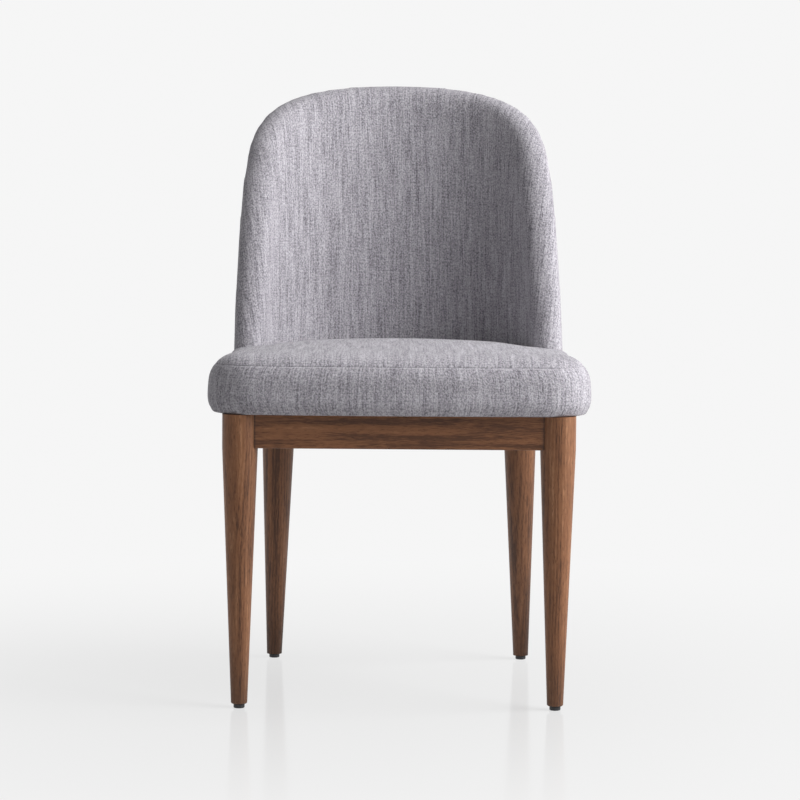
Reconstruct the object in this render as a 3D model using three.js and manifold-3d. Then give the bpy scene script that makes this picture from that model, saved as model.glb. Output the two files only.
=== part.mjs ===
// A dining chair with a curved upholstered back, a padded seat and a turned wooden base.
// Millimetres, +Z up, front of the chair towards -Y, standing on z = 0.
import * as THREE from "three";
import { mergeVertices } from "three/addons/utils/BufferGeometryUtils.js";
import Module from "manifold-3d";

const wasm = await Module();
wasm.setup();

// Clearances
const gap = 0.3;                    // between pieces that touch on the real chair
const seamGap = 0.6;                // between two fabric panels at their seam
const padClearance = 1.5;           // between the seat cushion and the padded back
const overrun = 4;                  // how far a cutting tool runs past what it cuts
const weldDistance = 1e-4;          // points closer than this become one

// Base: heights, places and sections. The front leg axes are at y = 0.
const frameTop = 396;
const seatHalfWidth = 259;          // the cushion's widest outline, which the front legs follow
const frontLegInset = 47;           // front leg axes, inside that outline
const rearLegShare = 0.6958;        // tops of the rear legs, along the bend of the back
const rearLegSet = 5.5;             // and inside its middle surface
const rearLegSplay = 8.5;           // how far the rear feet stand outside their tops
const rearLegRake = 79;             // and behind them
const legDiameter = 47.75;
const footDiameter = 22;
const footChamfer = 1.2;
const legSides = 28;
const apronDepth = 45;
const apronThickness = 21;
const apronEase = 2;                // rounding of the lower edges
const frontApronSet = 4.5;          // middle of the front apron, ahead of the leg axes
const tenonThickness = 9;
const tenonHeight = 32;
const frontTenonStop = 4;           // how far a tenon ends short of the leg's axis
const rearTenonStop = 8;

// Foot glides
const glideDiameter = 15;
const glideHeight = 6;
const glideEdge = 1.2;
const nailDiameter = 2.6;
const nailLength = 15;

// Corner blocks with their screws and the seat bolts
const blockReach = 62;              // along each apron, from the inner corner
const blockCornerCut = 12;
const blockThickness = 24;
const blockDrop = 2;                // top of the block below the top of the frame
const blockScrewReach = 42;
const blockScrewSeat = 14;          // head's seat, from the apron's inner face
const blockScrewBite = 14;          // how far the screw goes into the apron
const blockScrewStagger = 5;
const screwDiameter = 4.5;
const screwHeadDiameter = 8.6;
const screwHeadHeight = 2.8;
const screwTip = 5;
const screwSides = 10;
const headPocketDiameter = 10.5;
const boltOffset = 20;              // bolt's axis, from both inner faces
const boltDiameter = 6;
const boltHeadDiameter = 11;
const boltHeadHeight = 4.2;
const boltHoleDiameter = 7;
const washerDiameter = 18;
const washerThickness = 1.6;
const boltSides = 16;
const teeNutFlangeDiameter = 19;
const teeNutFlange = 1.5;
const teeNutBarrelDiameter = 8;
const teeNutLength = 10;

// Upholstery layers, shared by the seat and the back
const clothThickness = 1.5;
const boardThickness = 15;
const dustCoverThickness = 0.8;

// Seat cushion, seen from above
const seatFront = 40;               // front edge, ahead of the front leg axes
const seatFrontBow = 6;
const seatCornerRadius = 68;
const hipProud = 9.6;               // how far the cushion stands outside the wings of the back
const hipRadius = 14;
const frontShares = [0, 0.36, 0.7];
const cornerSteps = 5;
const sideShares = [                // along the side, towards the hip, and draw-in taken
  [0.22, 0.06, 1], [0.48, 0.27, 1], [0.74, 0.58, 0.85],
];
const hipSteps = 3;
const hipStartShare = 0.08;
const hipShare = 0.3;
const notchSteps = 4;
const rearSteps = 6;
const rearShare = 0.45;

// Seat cushion, seen from the side
const girthRise = 34;               // widest outline, above the frame
const seamRise = 31;                // seam and shoulder, above the widest outline
const shoulderRise = 44;
const crownRise = 8;                // middle of the cushion, above the shoulder
const seatPoleY = 190;              // middle of the crown
const crownRadius = 200;            // the crown's rings turn round towards this radius
const crownTurnShare = 0.3;         // part of the way in over which they do
const bottomDrawIn = 16;
const shoulderWidth = 36;
const tuckWidth = 26;               // cloth stapled under the board
const lowerTurnShares = [0, 0.3, 0.62];
const bandTurnShares = [0.35, 0.7, 1];
const topTurnShares = [0, 0.3, 0.6, 1];
const crownShares = [0.8, 0.55, 0.27, 0];
const boardEdgeShare = 0.8;
const boardEdgeGap = 1;
const dustCoverGap = 0.6;

// Back: developed outline, bent section and rake. The outline is the middle of the round rim,
// half a thickness inside the edge.
const backThickness = 44;
const bendOverWidth = 27;           // the bend is this much longer than the seat's half width
const wingLength = 8;               // straight part of the wings, past the bend
const backHeight = 430.7;           // up the rake
const backTaper = 0.1707;           // front edges of the wings lean in by this slope
const topPower = 12.15;
const sidePower = 2.164;
const bendAngle = THREE.MathUtils.degToRad(85);
const bendEvenShare = 0.7;          // part of the bend that is spread evenly
const backRake = THREE.MathUtils.degToRad(9);
const backRearY = 440;              // outside of the back at the level of the frame's top
const plyThickness = 9;
const rearFoamThickness = 7.4;
const plyEdgeCover = 6;             // foam in front of the ply's edge, inside the rim
const backCrown = 7;
const backSeamAngle = THREE.MathUtils.degToRad(62);
const rimSteps = 5;
const shellScrewPitch = 88;
const shellScrewLength = 26;

// Finishes
const finish = (color, roughness, metalness) =>
  new THREE.MeshStandardMaterial({ color, roughness, metalness });
const walnut = finish(0x6a4833, 0.5, 0);
const plywood = finish(0xb9935f, 0.7, 0);
const blockWood = finish(0xa98a5c, 0.75, 0);
const foam = finish(0xe6dfc8, 0.95, 0);
const cloth = finish(0x99969c, 0.95, 0);
const lining = finish(0x1b1b1c, 0.95, 0);
const steel = finish(0xa4a6a8, 0.35, 1);
const nylon = finish(0x17171a, 0.55, 0);

const chair = new THREE.Group();

function addPiece(name, geometry, material) {
  const mesh = new THREE.Mesh(geometry, material);
  mesh.name = name;
  chair.add(mesh);
}

// Solids: merging, cutting, joining and mirroring
function merged(geometry) {
  const bare = new THREE.BufferGeometry();
  bare.setAttribute("position", geometry.getAttribute("position").clone());
  if (geometry.index) {
    bare.setIndex(geometry.index.clone());
  }
  const whole = mergeVertices(bare, weldDistance);
  const kept = [];
  const index = whole.index.array;
  for (let k = 0; k < index.length; k += 3) {
    const [a, b, c] = [index[k], index[k + 1], index[k + 2]];
    if (a !== b && b !== c && c !== a) {
      kept.push(a, b, c);
    }
  }
  whole.setIndex(kept);
  return whole;
}

function signedVolume(geometry) {
  const p = geometry.getAttribute("position");
  const index = geometry.index.array;
  const [a, b, c] = [new THREE.Vector3(), new THREE.Vector3(), new THREE.Vector3()];
  let sum = 0;
  for (let k = 0; k < index.length; k += 3) {
    a.fromBufferAttribute(p, index[k]);
    b.fromBufferAttribute(p, index[k + 1]);
    c.fromBufferAttribute(p, index[k + 2]);
    sum += a.dot(b.cross(c));
  }
  return sum;
}

function flipped(geometry) {
  const index = geometry.index.array;
  const turned = [];
  for (let k = 0; k < index.length; k += 3) {
    turned.push(index[k], index[k + 2], index[k + 1]);
  }
  geometry.setIndex(turned);
  return geometry;
}

function facingOut(geometry) {
  const whole = merged(geometry);
  return signedVolume(whole) < 0 ? flipped(whole) : whole;
}

function mirrored(geometry) {
  const copy = geometry.clone();
  copy.scale(-1, 1, 1);
  return facingOut(copy);
}

function solid(geometry) {
  const whole = facingOut(geometry);
  return new wasm.Manifold(new wasm.Mesh({
    numProp: 3,
    vertProperties: new Float32Array(whole.getAttribute("position").array),
    triVerts: new Uint32Array(whole.index.array),
  }));
}

function geometryOf(manifold) {
  const mesh = manifold.getMesh();
  const geometry = new THREE.BufferGeometry();
  geometry.setAttribute("position", new THREE.BufferAttribute(mesh.vertProperties, 3));
  geometry.setIndex(new THREE.BufferAttribute(mesh.triVerts, 1));
  return geometry;
}

function cut(geometry, tools) {
  let result = solid(geometry);
  for (const tool of tools) {
    result = result.subtract(solid(tool));
  }
  return geometryOf(result);
}

function joined(geometry, other) {
  return geometryOf(solid(geometry).add(solid(other)));
}

function common(geometry, other) {
  return geometryOf(solid(geometry).intersect(solid(other)));
}

// Turned pieces: a profile of [radius, height] pairs, spun about the Z axis
function turned(profile, sides) {
  const points = profile.map(([radius, height]) => new THREE.Vector2(radius, height));
  const geometry = new THREE.LatheGeometry(points, sides);
  geometry.rotateX(Math.PI / 2);
  return facingOut(geometry);
}

function rod(radius, from, to, sides) {
  return turned([[0, from], [radius, from], [radius, to], [0, to]], sides);
}

// Turns a piece made along +Z to point along a direction and moves it to a place
function aimed(geometry, place, direction) {
  const copy = geometry.clone();
  const up = new THREE.Vector3(0, 0, 1);
  copy.applyQuaternion(new THREE.Quaternion().setFromUnitVectors(up, direction.clone().normalize()));
  copy.translate(place.x, place.y, place.z);
  return copy;
}

function slab(sizeX, sizeY, sizeZ, x, y, z) {
  const geometry = new THREE.BoxGeometry(sizeX, sizeY, sizeZ);
  geometry.translate(x, y, z);
  return geometry;
}

// Sheets: rows of points, joined into faces; walls close the edges between two sheets
function sheetFaces(rows, wrap, reverse, out) {
  const columns = rows[0].length;
  const last = wrap ? columns : columns - 1;
  for (let r = 0; r + 1 < rows.length; r += 1) {
    for (let c = 0; c < last; c += 1) {
      const next = (c + 1) % columns;
      const corner = rows[r][c];
      const beside = rows[r][next];
      const opposite = rows[r + 1][next];
      const beyond = rows[r + 1][c];
      triangleFace(corner, reverse ? opposite : beside, reverse ? beside : opposite, out);
      triangleFace(corner, reverse ? beyond : opposite, reverse ? opposite : beyond, out);
    }
  }
}

function triangleFace(a, b, c, out) {
  for (const point of [a, b, c]) {
    out.push(point.x, point.y, point.z);
  }
}

function geometryFrom(numbers) {
  const geometry = new THREE.BufferGeometry();
  geometry.setAttribute("position", new THREE.Float32BufferAttribute(numbers, 3));
  return facingOut(geometry);
}

function closedSheet(outer, inner, wrap) {
  const out = [];
  const end = outer.length - 1;
  sheetFaces(outer, wrap, false, out);
  sheetFaces(inner, wrap, true, out);
  sheetFaces([inner[0], outer[0]], wrap, false, out);
  sheetFaces([outer[end], inner[end]], wrap, false, out);
  if (!wrap) {
    const side = outer[0].length - 1;
    sheetFaces([outer.map((row) => row[0]), inner.map((row) => row[0])], false, false, out);
    sheetFaces([inner.map((row) => row[side]), outer.map((row) => row[side])], false, false, out);
  }
  return geometryFrom(out);
}

// A flat face over a closed loop of points that all have one height
function capFaces(loop, out) {
  const flat = loop.map((point) => new THREE.Vector2(point.x, point.y));
  for (const [a, b, c] of THREE.ShapeUtils.triangulateShape(flat, [])) {
    triangleFace(loop[a], loop[b], loop[c], out);
  }
}

function isClockwise(loop) {
  const flat = loop.map((point) => new THREE.Vector2(point.x, point.y));
  return THREE.ShapeUtils.isClockWise(flat);
}

// A body between a loop below and rows above it that end in one point or in a flat loop
function bodyOverLoop(rows, flatTop) {
  const out = [];
  const clockwise = isClockwise(rows[0]);
  sheetFaces(rows, true, clockwise, out);
  const below = [];
  capFaces(rows[0], below);
  appendFaces(below, !clockwise, out);
  if (flatTop) {
    const above = [];
    capFaces(rows[rows.length - 1], above);
    appendFaces(above, clockwise, out);
  }
  return geometryFrom(out);
}

function appendFaces(faces, reverse, out) {
  for (let k = 0; k < faces.length; k += 9) {
    const [a, b, c] = [faces.slice(k, k + 3), faces.slice(k + 3, k + 6), faces.slice(k + 6, k + 9)];
    out.push(...a, ...(reverse ? c : b), ...(reverse ? b : c));
  }
}

// Back: the bent section is a heading that grows along the sheet, added up in small steps
const bendLength = seatHalfWidth + bendOverWidth;
const backHalfLength = bendLength + wingLength;     // half the lower edge, along the bent sheet
const bendSteps = 240;
const bendReachShare = 1.15;
const bend = [{ s: 0, x: 0, y: 0, angle: 0 }];
for (let k = 1; k <= bendSteps; k += 1) {
  const headingAt = (share) => bendAngle * (bendEvenShare * share + (1 - bendEvenShare) * share ** 3);
  const step = (bendReachShare * bendLength) / bendSteps;
  const s = k * step;
  const middle = headingAt((s - step / 2) / bendLength);
  const before = bend[k - 1];
  bend.push({
    s,
    x: before.x + step * Math.cos(middle),
    y: before.y - step * Math.sin(middle),
    angle: headingAt(s / bendLength),
  });
}

function sectionAt(s) {
  const along = Math.min(Math.abs(s) / bend[1].s, bendSteps - 1);
  const k = Math.floor(along);
  const share = along - k;
  const mix = (key) => bend[k][key] + share * (bend[k + 1][key] - bend[k][key]);
  return { x: Math.sign(s) * mix("x"), y: mix("y"), angle: Math.sign(s) * mix("angle") };
}

const backBase = frameTop + gap;
const halfBack = backThickness / 2;

// A point of the back: along the sheet, up the rake, and out from its middle surface
function backPoint(s, h, out) {
  const { x, y, angle } = sectionAt(s);
  return new THREE.Vector3(
    x + out * Math.sin(angle),
    backRearY - halfBack + y + out * Math.cos(angle) + h * Math.sin(backRake),
    backBase + h * Math.cos(backRake),
  );
}

// Legs: one turned profile, straight along the aprons and tapered below them
const frontHalfSpan = seatHalfWidth - frontLegInset;
const rearTopCentre = backPoint(rearLegShare * bendLength, 0, -rearLegSet).setZ(frameTop);
const rearFootCentre = new THREE.Vector3(
  rearTopCentre.x + rearLegSplay, rearTopCentre.y + rearLegRake, 0,
);
const rearAxisUp = rearTopCentre.clone().sub(rearFootCentre);
const rearAxisShare = (height) => height / frameTop;

function legProfile(length, shoulder, extra) {
  const foot = footDiameter / 2 + extra;
  const top = legDiameter / 2 + extra;
  return [
    [0, glideHeight], [foot - footChamfer, glideHeight], [foot, glideHeight + footChamfer],
    [top, shoulder], [top, length], [0, length],
  ];
}

function frontLegBlank(extra) {
  const geometry = turned(legProfile(frameTop + extra, frameTop - apronDepth, extra), legSides);
  geometry.translate(frontHalfSpan, 0, 0);
  return geometry;
}

// The rear leg leans back and a little outwards, and both its ends are trimmed level
function rearLegBlank(extra) {
  const scale = rearAxisUp.length() / frameTop;
  const profile = legProfile(frameTop + legDiameter, frameTop - apronDepth, extra);
  profile[0][1] -= legDiameter / 2;
  profile[1] = [profile[2][0], profile[0][1]];
  const stretched = profile.map(([radius, height]) => [radius, height * scale]);
  return aimed(turned(stretched, legSides), rearFootCentre, rearAxisUp);
}

function rearLegAt(height) {
  return rearFootCentre.clone().addScaledVector(rearAxisUp, rearAxisShare(height));
}

// Aprons: a board between two leg axes, scribed to the round legs, with a tenon at each end
const apronMiddle = frameTop - apronDepth / 2;

function apronBoard(length) {
  const half = apronThickness / 2;
  const low = -apronDepth / 2;
  const high = apronDepth / 2;
  const section = new THREE.Shape();
  section.moveTo(-half, high);
  section.lineTo(-half, low + apronEase);
  section.quadraticCurveTo(-half, low, -half + apronEase, low);
  section.lineTo(half - apronEase, low);
  section.quadraticCurveTo(half, low, half, low + apronEase);
  section.lineTo(half, high);
  const board = new THREE.ExtrudeGeometry(section, { depth: length, bevelEnabled: false, curveSegments: 3 });
  board.translate(0, 0, -length / 2);
  board.rotateX(Math.PI / 2);
  board.rotateZ(Math.PI / 2);
  return board;
}

function placedBetween(geometry, from, to) {
  const copy = geometry.clone();
  copy.rotateZ(Math.atan2(to.y - from.y, to.x - from.x));
  copy.translate((from.x + to.x) / 2, (from.y + to.y) / 2, apronMiddle);
  return copy;
}

function tenonBar(from, to, stopFrom, stopTo, extra) {
  const run = Math.hypot(to.x - from.x, to.y - from.y);
  const bar = slab(
    run - stopFrom - stopTo + 2 * extra, tenonThickness + 2 * extra, tenonHeight + 2 * extra,
    (stopFrom - stopTo) / 2, 0, 0,
  );
  return placedBetween(bar, from, to);
}

function apronOf(from, to, stopFrom, stopTo, legs) {
  const run = Math.hypot(to.x - from.x, to.y - from.y);
  const scribed = cut(placedBetween(apronBoard(run), from, to), legs);
  return joined(scribed, tenonBar(from, to, stopFrom, stopTo, 0));
}

const frontLeft = new THREE.Vector2(-frontHalfSpan, -frontApronSet);
const frontRight = new THREE.Vector2(frontHalfSpan, -frontApronSet);
const sideFront = new THREE.Vector2(frontHalfSpan, 0);
const rearMiddle = rearLegAt(apronMiddle);
const sideRear = new THREE.Vector2(rearMiddle.x, rearMiddle.y);
const rearLeft = new THREE.Vector2(-rearMiddle.x, rearMiddle.y);

const frontLegTool = frontLegBlank(gap);
const rearLegTool = rearLegBlank(gap);
const sideAngle = Math.atan2(sideRear.y - sideFront.y, sideRear.x - sideFront.x);

const frontApron = apronOf(
  frontLeft, frontRight, frontTenonStop, frontTenonStop, [frontLegTool, mirrored(frontLegTool)],
);
const rearApron = apronOf(
  rearLeft, sideRear, frontTenonStop, frontTenonStop, [rearLegTool, mirrored(rearLegTool)],
);
const sideApron = apronOf(sideFront, sideRear, frontTenonStop, rearTenonStop, [frontLegTool, rearLegTool]);

const levelSlab = slab(
  2 * (seatHalfWidth + legDiameter), 4 * rearFootCentre.y, frameTop - glideHeight,
  0, 0, (frameTop + glideHeight) / 2,
);
const nailHoleRadius = nailDiameter / 2 + gap;

function nailHole(x, y) {
  const hole = rod(nailHoleRadius, glideHeight - overrun, glideHeight + nailLength + gap, screwSides);
  hole.translate(x, y, 0);
  return hole;
}

const rearFootAtGlide = rearLegAt(glideHeight);
const frontLeg = cut(frontLegBlank(0), [
  tenonBar(frontLeft, frontRight, frontTenonStop, frontTenonStop, gap),
  tenonBar(sideFront, sideRear, frontTenonStop, rearTenonStop, gap),
  nailHole(frontHalfSpan, 0),
]);
const rearLeg = cut(common(rearLegBlank(0), levelSlab), [
  tenonBar(rearLeft, sideRear, frontTenonStop, frontTenonStop, gap),
  tenonBar(sideFront, sideRear, frontTenonStop, rearTenonStop, gap),
  nailHole(rearFootAtGlide.x, rearFootAtGlide.y),
]);

// Glides: a nylon pad with a nail, driven into the foot of each leg
function glideAt(x, y) {
  const radius = glideDiameter / 2;
  const top = glideHeight - gap;
  const nail = nailDiameter / 2;
  const geometry = turned([
    [0, 0], [radius - glideEdge, 0], [radius, glideEdge], [radius, top - glideEdge / 2],
    [radius - glideEdge / 2, top], [nail, top], [nail, top + nailLength], [0, top + nailLength],
  ], boltSides);
  geometry.translate(x, y, 0);
  return geometry;
}

// Corner blocks: glued and screwed between two aprons, with the seat bolt through the middle
// A corner is given by its inner point and the directions along its two aprons
const halfApron = apronThickness / 2;

function lineMeeting(pointA, directionA, pointB, directionB) {
  const across = directionA.x * directionB.y - directionA.y * directionB.x;
  const delta = pointB.clone().sub(pointA);
  const along = (delta.x * directionB.y - delta.y * directionB.x) / across;
  return pointA.clone().addScaledVector(directionA, along);
}

const sideDirection = new THREE.Vector2(Math.cos(sideAngle), Math.sin(sideAngle));
const sideInward = new THREE.Vector2(-sideDirection.y, sideDirection.x);
const sideFacePoint = sideFront.clone().addScaledVector(sideInward, halfApron + gap);
const inwardX = new THREE.Vector2(-1, 0);

function cornerAt(crossPoint, alongSide) {
  return {
    point: lineMeeting(crossPoint, inwardX, sideFacePoint, sideDirection),
    alongCross: inwardX,
    alongSide,
    normalCross: new THREE.Vector2(0, Math.sign(alongSide.y)),
    normalSide: sideInward,
  };
}

const frontCorner = cornerAt(new THREE.Vector2(0, halfApron - frontApronSet + gap), sideDirection);
const rearCorner = cornerAt(
  new THREE.Vector2(0, sideRear.y - halfApron - gap), sideDirection.clone().negate(),
);
const blockTop = frameTop - blockDrop;
const blockMiddle = blockTop - blockThickness / 2;

function cornerSpot(corner, cross, side) {
  return corner.point.clone().addScaledVector(corner.alongCross, cross).addScaledVector(corner.alongSide, side);
}

// The two screws of a block: place of the head's seat and the direction into the apron
function blockScrews(corner) {
  const seatFor = (along, normal, stagger) => {
    const foot = corner.point.clone().addScaledVector(along, blockScrewReach);
    foot.addScaledVector(normal, blockScrewSeat);
    return {
      place: new THREE.Vector3(foot.x, foot.y, blockMiddle + stagger),
      direction: new THREE.Vector3(-normal.x, -normal.y, 0),
    };
  };
  return [
    seatFor(corner.alongCross, corner.normalCross, blockScrewStagger),
    seatFor(corner.alongSide, corner.normalSide, -blockScrewStagger),
  ];
}

// A wood screw along +Z, with the underside of its head at z = 0
function woodScrew(length, extra) {
  const shank = screwDiameter / 2 + extra;
  return turned([
    [0, -screwHeadHeight - extra], [screwHeadDiameter / 2 + extra, -screwHeadHeight - extra],
    [screwHeadDiameter / 2 + extra, extra], [shank, extra],
    [shank, length - screwTip], [0, length + extra],
  ], screwSides);
}

const blockScrewLength = blockScrewSeat + blockScrewBite;
const blockScrew = woodScrew(blockScrewLength, 0);
const blockScrewHole = joined(
  woodScrew(blockScrewLength, gap),
  rod(headPocketDiameter / 2, -blockReach, gap, screwSides),
);

function boltSpot(corner) {
  return cornerSpot(corner, boltOffset, boltOffset);
}

function holeAt(spot, diameter, from, to) {
  const hole = rod(diameter / 2, from, to, boltSides);
  hole.translate(spot.x, spot.y, 0);
  return hole;
}

function cornerBlock(corner, legTool) {
  const outline = [
    cornerSpot(corner, blockCornerCut, 0), cornerSpot(corner, blockReach, 0),
    cornerSpot(corner, 0, blockReach), cornerSpot(corner, 0, blockCornerCut),
  ];
  const block = new THREE.ExtrudeGeometry(new THREE.Shape(outline), {
    depth: blockThickness, bevelEnabled: false,
  });
  block.translate(0, 0, blockTop - blockThickness);
  const screwHoles = blockScrews(corner).map(({ place, direction }) => aimed(blockScrewHole, place, direction));
  const boltHole = holeAt(boltSpot(corner), boltHoleDiameter, blockTop - blockThickness - overrun, frameTop);
  return cut(block, [legTool, boltHole, ...screwHoles]);
}

// Seat bolts, washers and the tee nuts in the seat board
const boardBottom = frameTop + clothThickness + 2 * gap;
const boardTop = boardBottom + boardThickness;
const washerTop = blockTop - blockThickness - gap;
const boltHeadTop = washerTop - washerThickness - gap;

function washerAt(spot) {
  const hole = boltHoleDiameter / 2;
  const outer = washerDiameter / 2;
  const low = washerTop - washerThickness;
  const ring = turned([
    [hole, low], [outer, low], [outer, washerTop], [hole, washerTop], [hole, low],
  ], boltSides);
  ring.translate(spot.x, spot.y, 0);
  return ring;
}

function boltAt(spot) {
  const head = boltHeadDiameter / 2;
  const shank = boltDiameter / 2;
  const low = boltHeadTop - boltHeadHeight;
  const bolt = turned([
    [0, low], [head - glideEdge, low], [head, low + glideEdge], [head, boltHeadTop],
    [shank, boltHeadTop], [shank, boardTop - teeNutFlange], [0, boardTop - teeNutFlange],
  ], boltSides);
  bolt.translate(spot.x, spot.y, 0);
  return bolt;
}

function teeNutAt(spot) {
  const bore = boltDiameter / 2 + gap;
  const barrel = teeNutBarrelDiameter / 2;
  const flange = teeNutFlangeDiameter / 2;
  const top = boardTop - gap;
  const shelf = top - teeNutFlange;
  const low = top - teeNutLength;
  const ring = turned([
    [bore, low], [barrel, low], [barrel, shelf], [flange, shelf], [flange, top], [bore, top], [bore, low],
  ], boltSides);
  ring.translate(spot.x, spot.y, 0);
  return ring;
}

function teeNutPocket(spot) {
  const barrel = teeNutBarrelDiameter / 2 + gap;
  const flange = teeNutFlangeDiameter / 2 + gap;
  const shelf = boardTop - teeNutFlange - 2 * gap;
  const low = boardTop - teeNutLength - 2 * gap;
  const pocket = turned([
    [0, low], [barrel, low], [barrel, shelf], [flange, shelf], [flange, boardTop + overrun],
    [0, boardTop + overrun],
  ], boltSides);
  pocket.translate(spot.x, spot.y, 0);
  return pocket;
}

// Half-length of the developed outline at a height
function outlineHalf(h) {
  const round = 1 - (Math.max(h, 0) / backHeight) ** topPower;
  return (backHalfLength - backTaper * h) * round ** (1 / sidePower);
}

// Heights of the outline's points: evenly up the straight side, then round the top
const sideHeightShares = [0, 0.28, 0.52, 0.7, 0.82];
const topSteps = 9;
const topStart = Math.asin(sideHeightShares.at(-1) ** (topPower / 2));
const outlineShares = [...sideHeightShares];
for (let k = 1; k <= topSteps; k += 1) {
  const turn = topStart + (k / topSteps) * (Math.PI / 2 - topStart);
  outlineShares.push(Math.sin(turn) ** (2 / topPower));
}

// The ring at a distance inside the edge of the back; its ends stay on the lower edge
const slopeShare = 1e-5;            // part of the height over which a slope is measured

function outlineRing(inset) {
  const inward = inset - halfBack;
  const lift = inward * Math.sin(Math.atan(backTaper));
  const half = outlineShares.map((share) => {
    const h = lift + share * (backHeight - lift);
    if (share === 1) {
      return { s: 0, h: backHeight - inward };
    }
    const small = backHeight * slopeShare;
    const up = new THREE.Vector2(outlineHalf(h + small) - outlineHalf(h - small), 2 * small).normalize();
    return { s: outlineHalf(h) - up.y * inward, h: Math.max(h + up.x * inward, 0) };
  });
  half[0].h = 0;
  const left = half.slice(0, -1).map(({ s, h }) => ({ s: -s, h }));
  return [...left, ...half.reverse()];
}

// The padding swells towards the middle of the back
const fieldRing = outlineRing(halfBack);

function crownAt(s, h) {
  const across = Math.max(0, 1 - (s / backHalfLength) ** 2);
  const up = Math.sin(Math.PI * Math.min(Math.max(h / backHeight, 0), 1));
  return backCrown * across * up ** 2;
}

const fieldShares = [0, 0.25, 0.5, 0.76, 1];

function fieldRows(out, crowned) {
  return fieldShares.map((share) => fieldRing.map(({ s, h }) => {
    const swell = crowned ? crownAt(s, h * share) : 0;
    return backPoint(s, h * share, out - swell);
  }));
}

const quarterTurn = Math.PI / 2;
const clothInner = halfBack - clothThickness;
const foamOuter = clothInner - gap;
const plyRear = foamOuter - rearFoamThickness - gap;
const plyFront = plyRear - plyThickness;
const plyInset = halfBack - plyEdgeCover;
const seamTurn = seamGap / halfBack;

// One ring of the rim: on a half circle whose middle runs half a thickness inside the outline
function rimRow(radius, angle) {
  const fade = Math.max(0, -Math.sin(angle));
  return outlineRing(halfBack - radius * Math.cos(angle)).map(({ s, h }) =>
    backPoint(s, h, radius * Math.sin(angle) - fade * crownAt(s, h)));
}

function rimRows(radius) {
  const rows = [];
  for (let k = 1; k <= rimSteps; k += 1) {
    rows.push(rimRow(radius, -quarterTurn + (k / rimSteps) * (quarterTurn + backSeamAngle)));
  }
  return rows;
}

function ringRow(inset, out) {
  return outlineRing(inset).map(({ s, h }) => backPoint(s, h, out));
}

// The seat board's rear edge passes under the front padding to the ply, between two columns
const middleColumn = (fieldRing.length - 1) / 2;
const earColumn = middleColumn + topSteps + 1;
const earReach = fieldRing[earColumn].s;
const earStations = fieldRing.filter(({ s }) => Math.abs(s) <= earReach + gap).map(({ s }) => s);

function heightAlong(z) {
  return (z - backBase) / Math.cos(backRake);
}

function earLoop(z, out, grow) {
  const h = heightAlong(z);
  const widen = (s) => s * (1 + grow / earReach);
  const near = earStations.map((s) => backPoint(widen(s), h, -halfBack - overrun));
  const far = earStations.map((s) => backPoint(widen(s), h, out)).reverse();
  return [...near, ...far].map((point) => point.setZ(z));
}

const earCut = bodyOverLoop([
  earLoop(backBase - overrun, plyFront + clothThickness, gap),
  earLoop(boardTop + 2 * gap, plyFront + clothThickness, gap),
], true);

// Screws that hold the ply to the edge of the seat board, their heads behind the ply
const shellScrews = [-2, -1, 0, 1, 2].map((k) => {
  const s = k * shellScrewPitch;
  const { angle } = sectionAt(s);
  return {
    place: backPoint(s, heightAlong((boardBottom + boardTop) / 2), plyRear + gap),
    direction: new THREE.Vector3(-Math.sin(angle), -Math.cos(angle), 0),
  };
});
const shellScrew = woodScrew(shellScrewLength, 0);
const shellScrewHole = woodScrew(shellScrewLength, gap);
const shellScrewPocket = rod(headPocketDiameter / 2, -screwHeadHeight - gap - apronEase, overrun, screwSides);

function atShellScrews(geometry) {
  return shellScrews.map(({ place, direction }) => aimed(geometry, place, direction));
}

const backFrontCover = cut(closedSheet(
  [...fieldRows(-halfBack, true), ...rimRows(halfBack)],
  [...fieldRows(-clothInner, true), ...rimRows(clothInner)],
  false,
), [earCut]);

const backRearCover = closedSheet(
  [rimRow(halfBack, backSeamAngle + seamTurn), ...fieldRows(halfBack, false).reverse()],
  [rimRow(clothInner, backSeamAngle + seamTurn), ...fieldRows(clothInner, false).reverse()],
  false,
);

// The front foam hooks round the edge of the ply and ends against the rear foam
const hookInset = plyInset - 2 * gap;
const hookStart = (plyInset + halfBack) / 2;
const hookEnd = halfBack - gap;
const plyMiddle = (plyFront + plyRear) / 2;
const hookPath = [
  [hookStart, plyFront - gap],
  [hookInset, plyFront - gap],
  [hookInset, plyMiddle],
  [hookInset, plyRear + 2 * gap],
  [(hookInset + hookEnd) / 2, plyRear + 2 * gap],
  [hookEnd, plyRear + 2 * gap],
];
const backFrontFoam = cut(closedSheet(
  [...fieldRows(-foamOuter, true), ...rimRows(foamOuter), ringRow(hookEnd, foamOuter)],
  [...fieldRows(plyFront - gap, false), ...hookPath.map(([inset, out]) => ringRow(inset, out))],
  false,
), [earCut]);

function plyRows(out) {
  const edge = [ringRow(plyInset, out), ringRow(plyInset, plyMiddle)];
  return [...fieldRows(out, false), ringRow(hookStart, out), ...edge];
}

const backShell = cut(
  closedSheet(plyRows(plyFront), plyRows(plyRear), false), atShellScrews(shellScrewHole),
);

const backRearFoam = cut(
  closedSheet(fieldRows(foamOuter, false), fieldRows(plyRear + gap, false), false),
  atShellScrews(shellScrewPocket),
);

// Seat cushion: half of its widest outline at a height, from the front to the rear, round the
// edge of the wing. The share of each point says how much of a draw-in it takes.
const notchRadius = halfBack + padClearance;
const notchTurn = seamGap / notchRadius;

function wingAt(z) {
  const h = heightAlong(z);
  const s = backHalfLength - backTaper * h;
  const centre = backPoint(s, h, 0);
  return { s, h, x: centre.x, y: centre.y, angle: sectionAt(s).angle };
}

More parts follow.
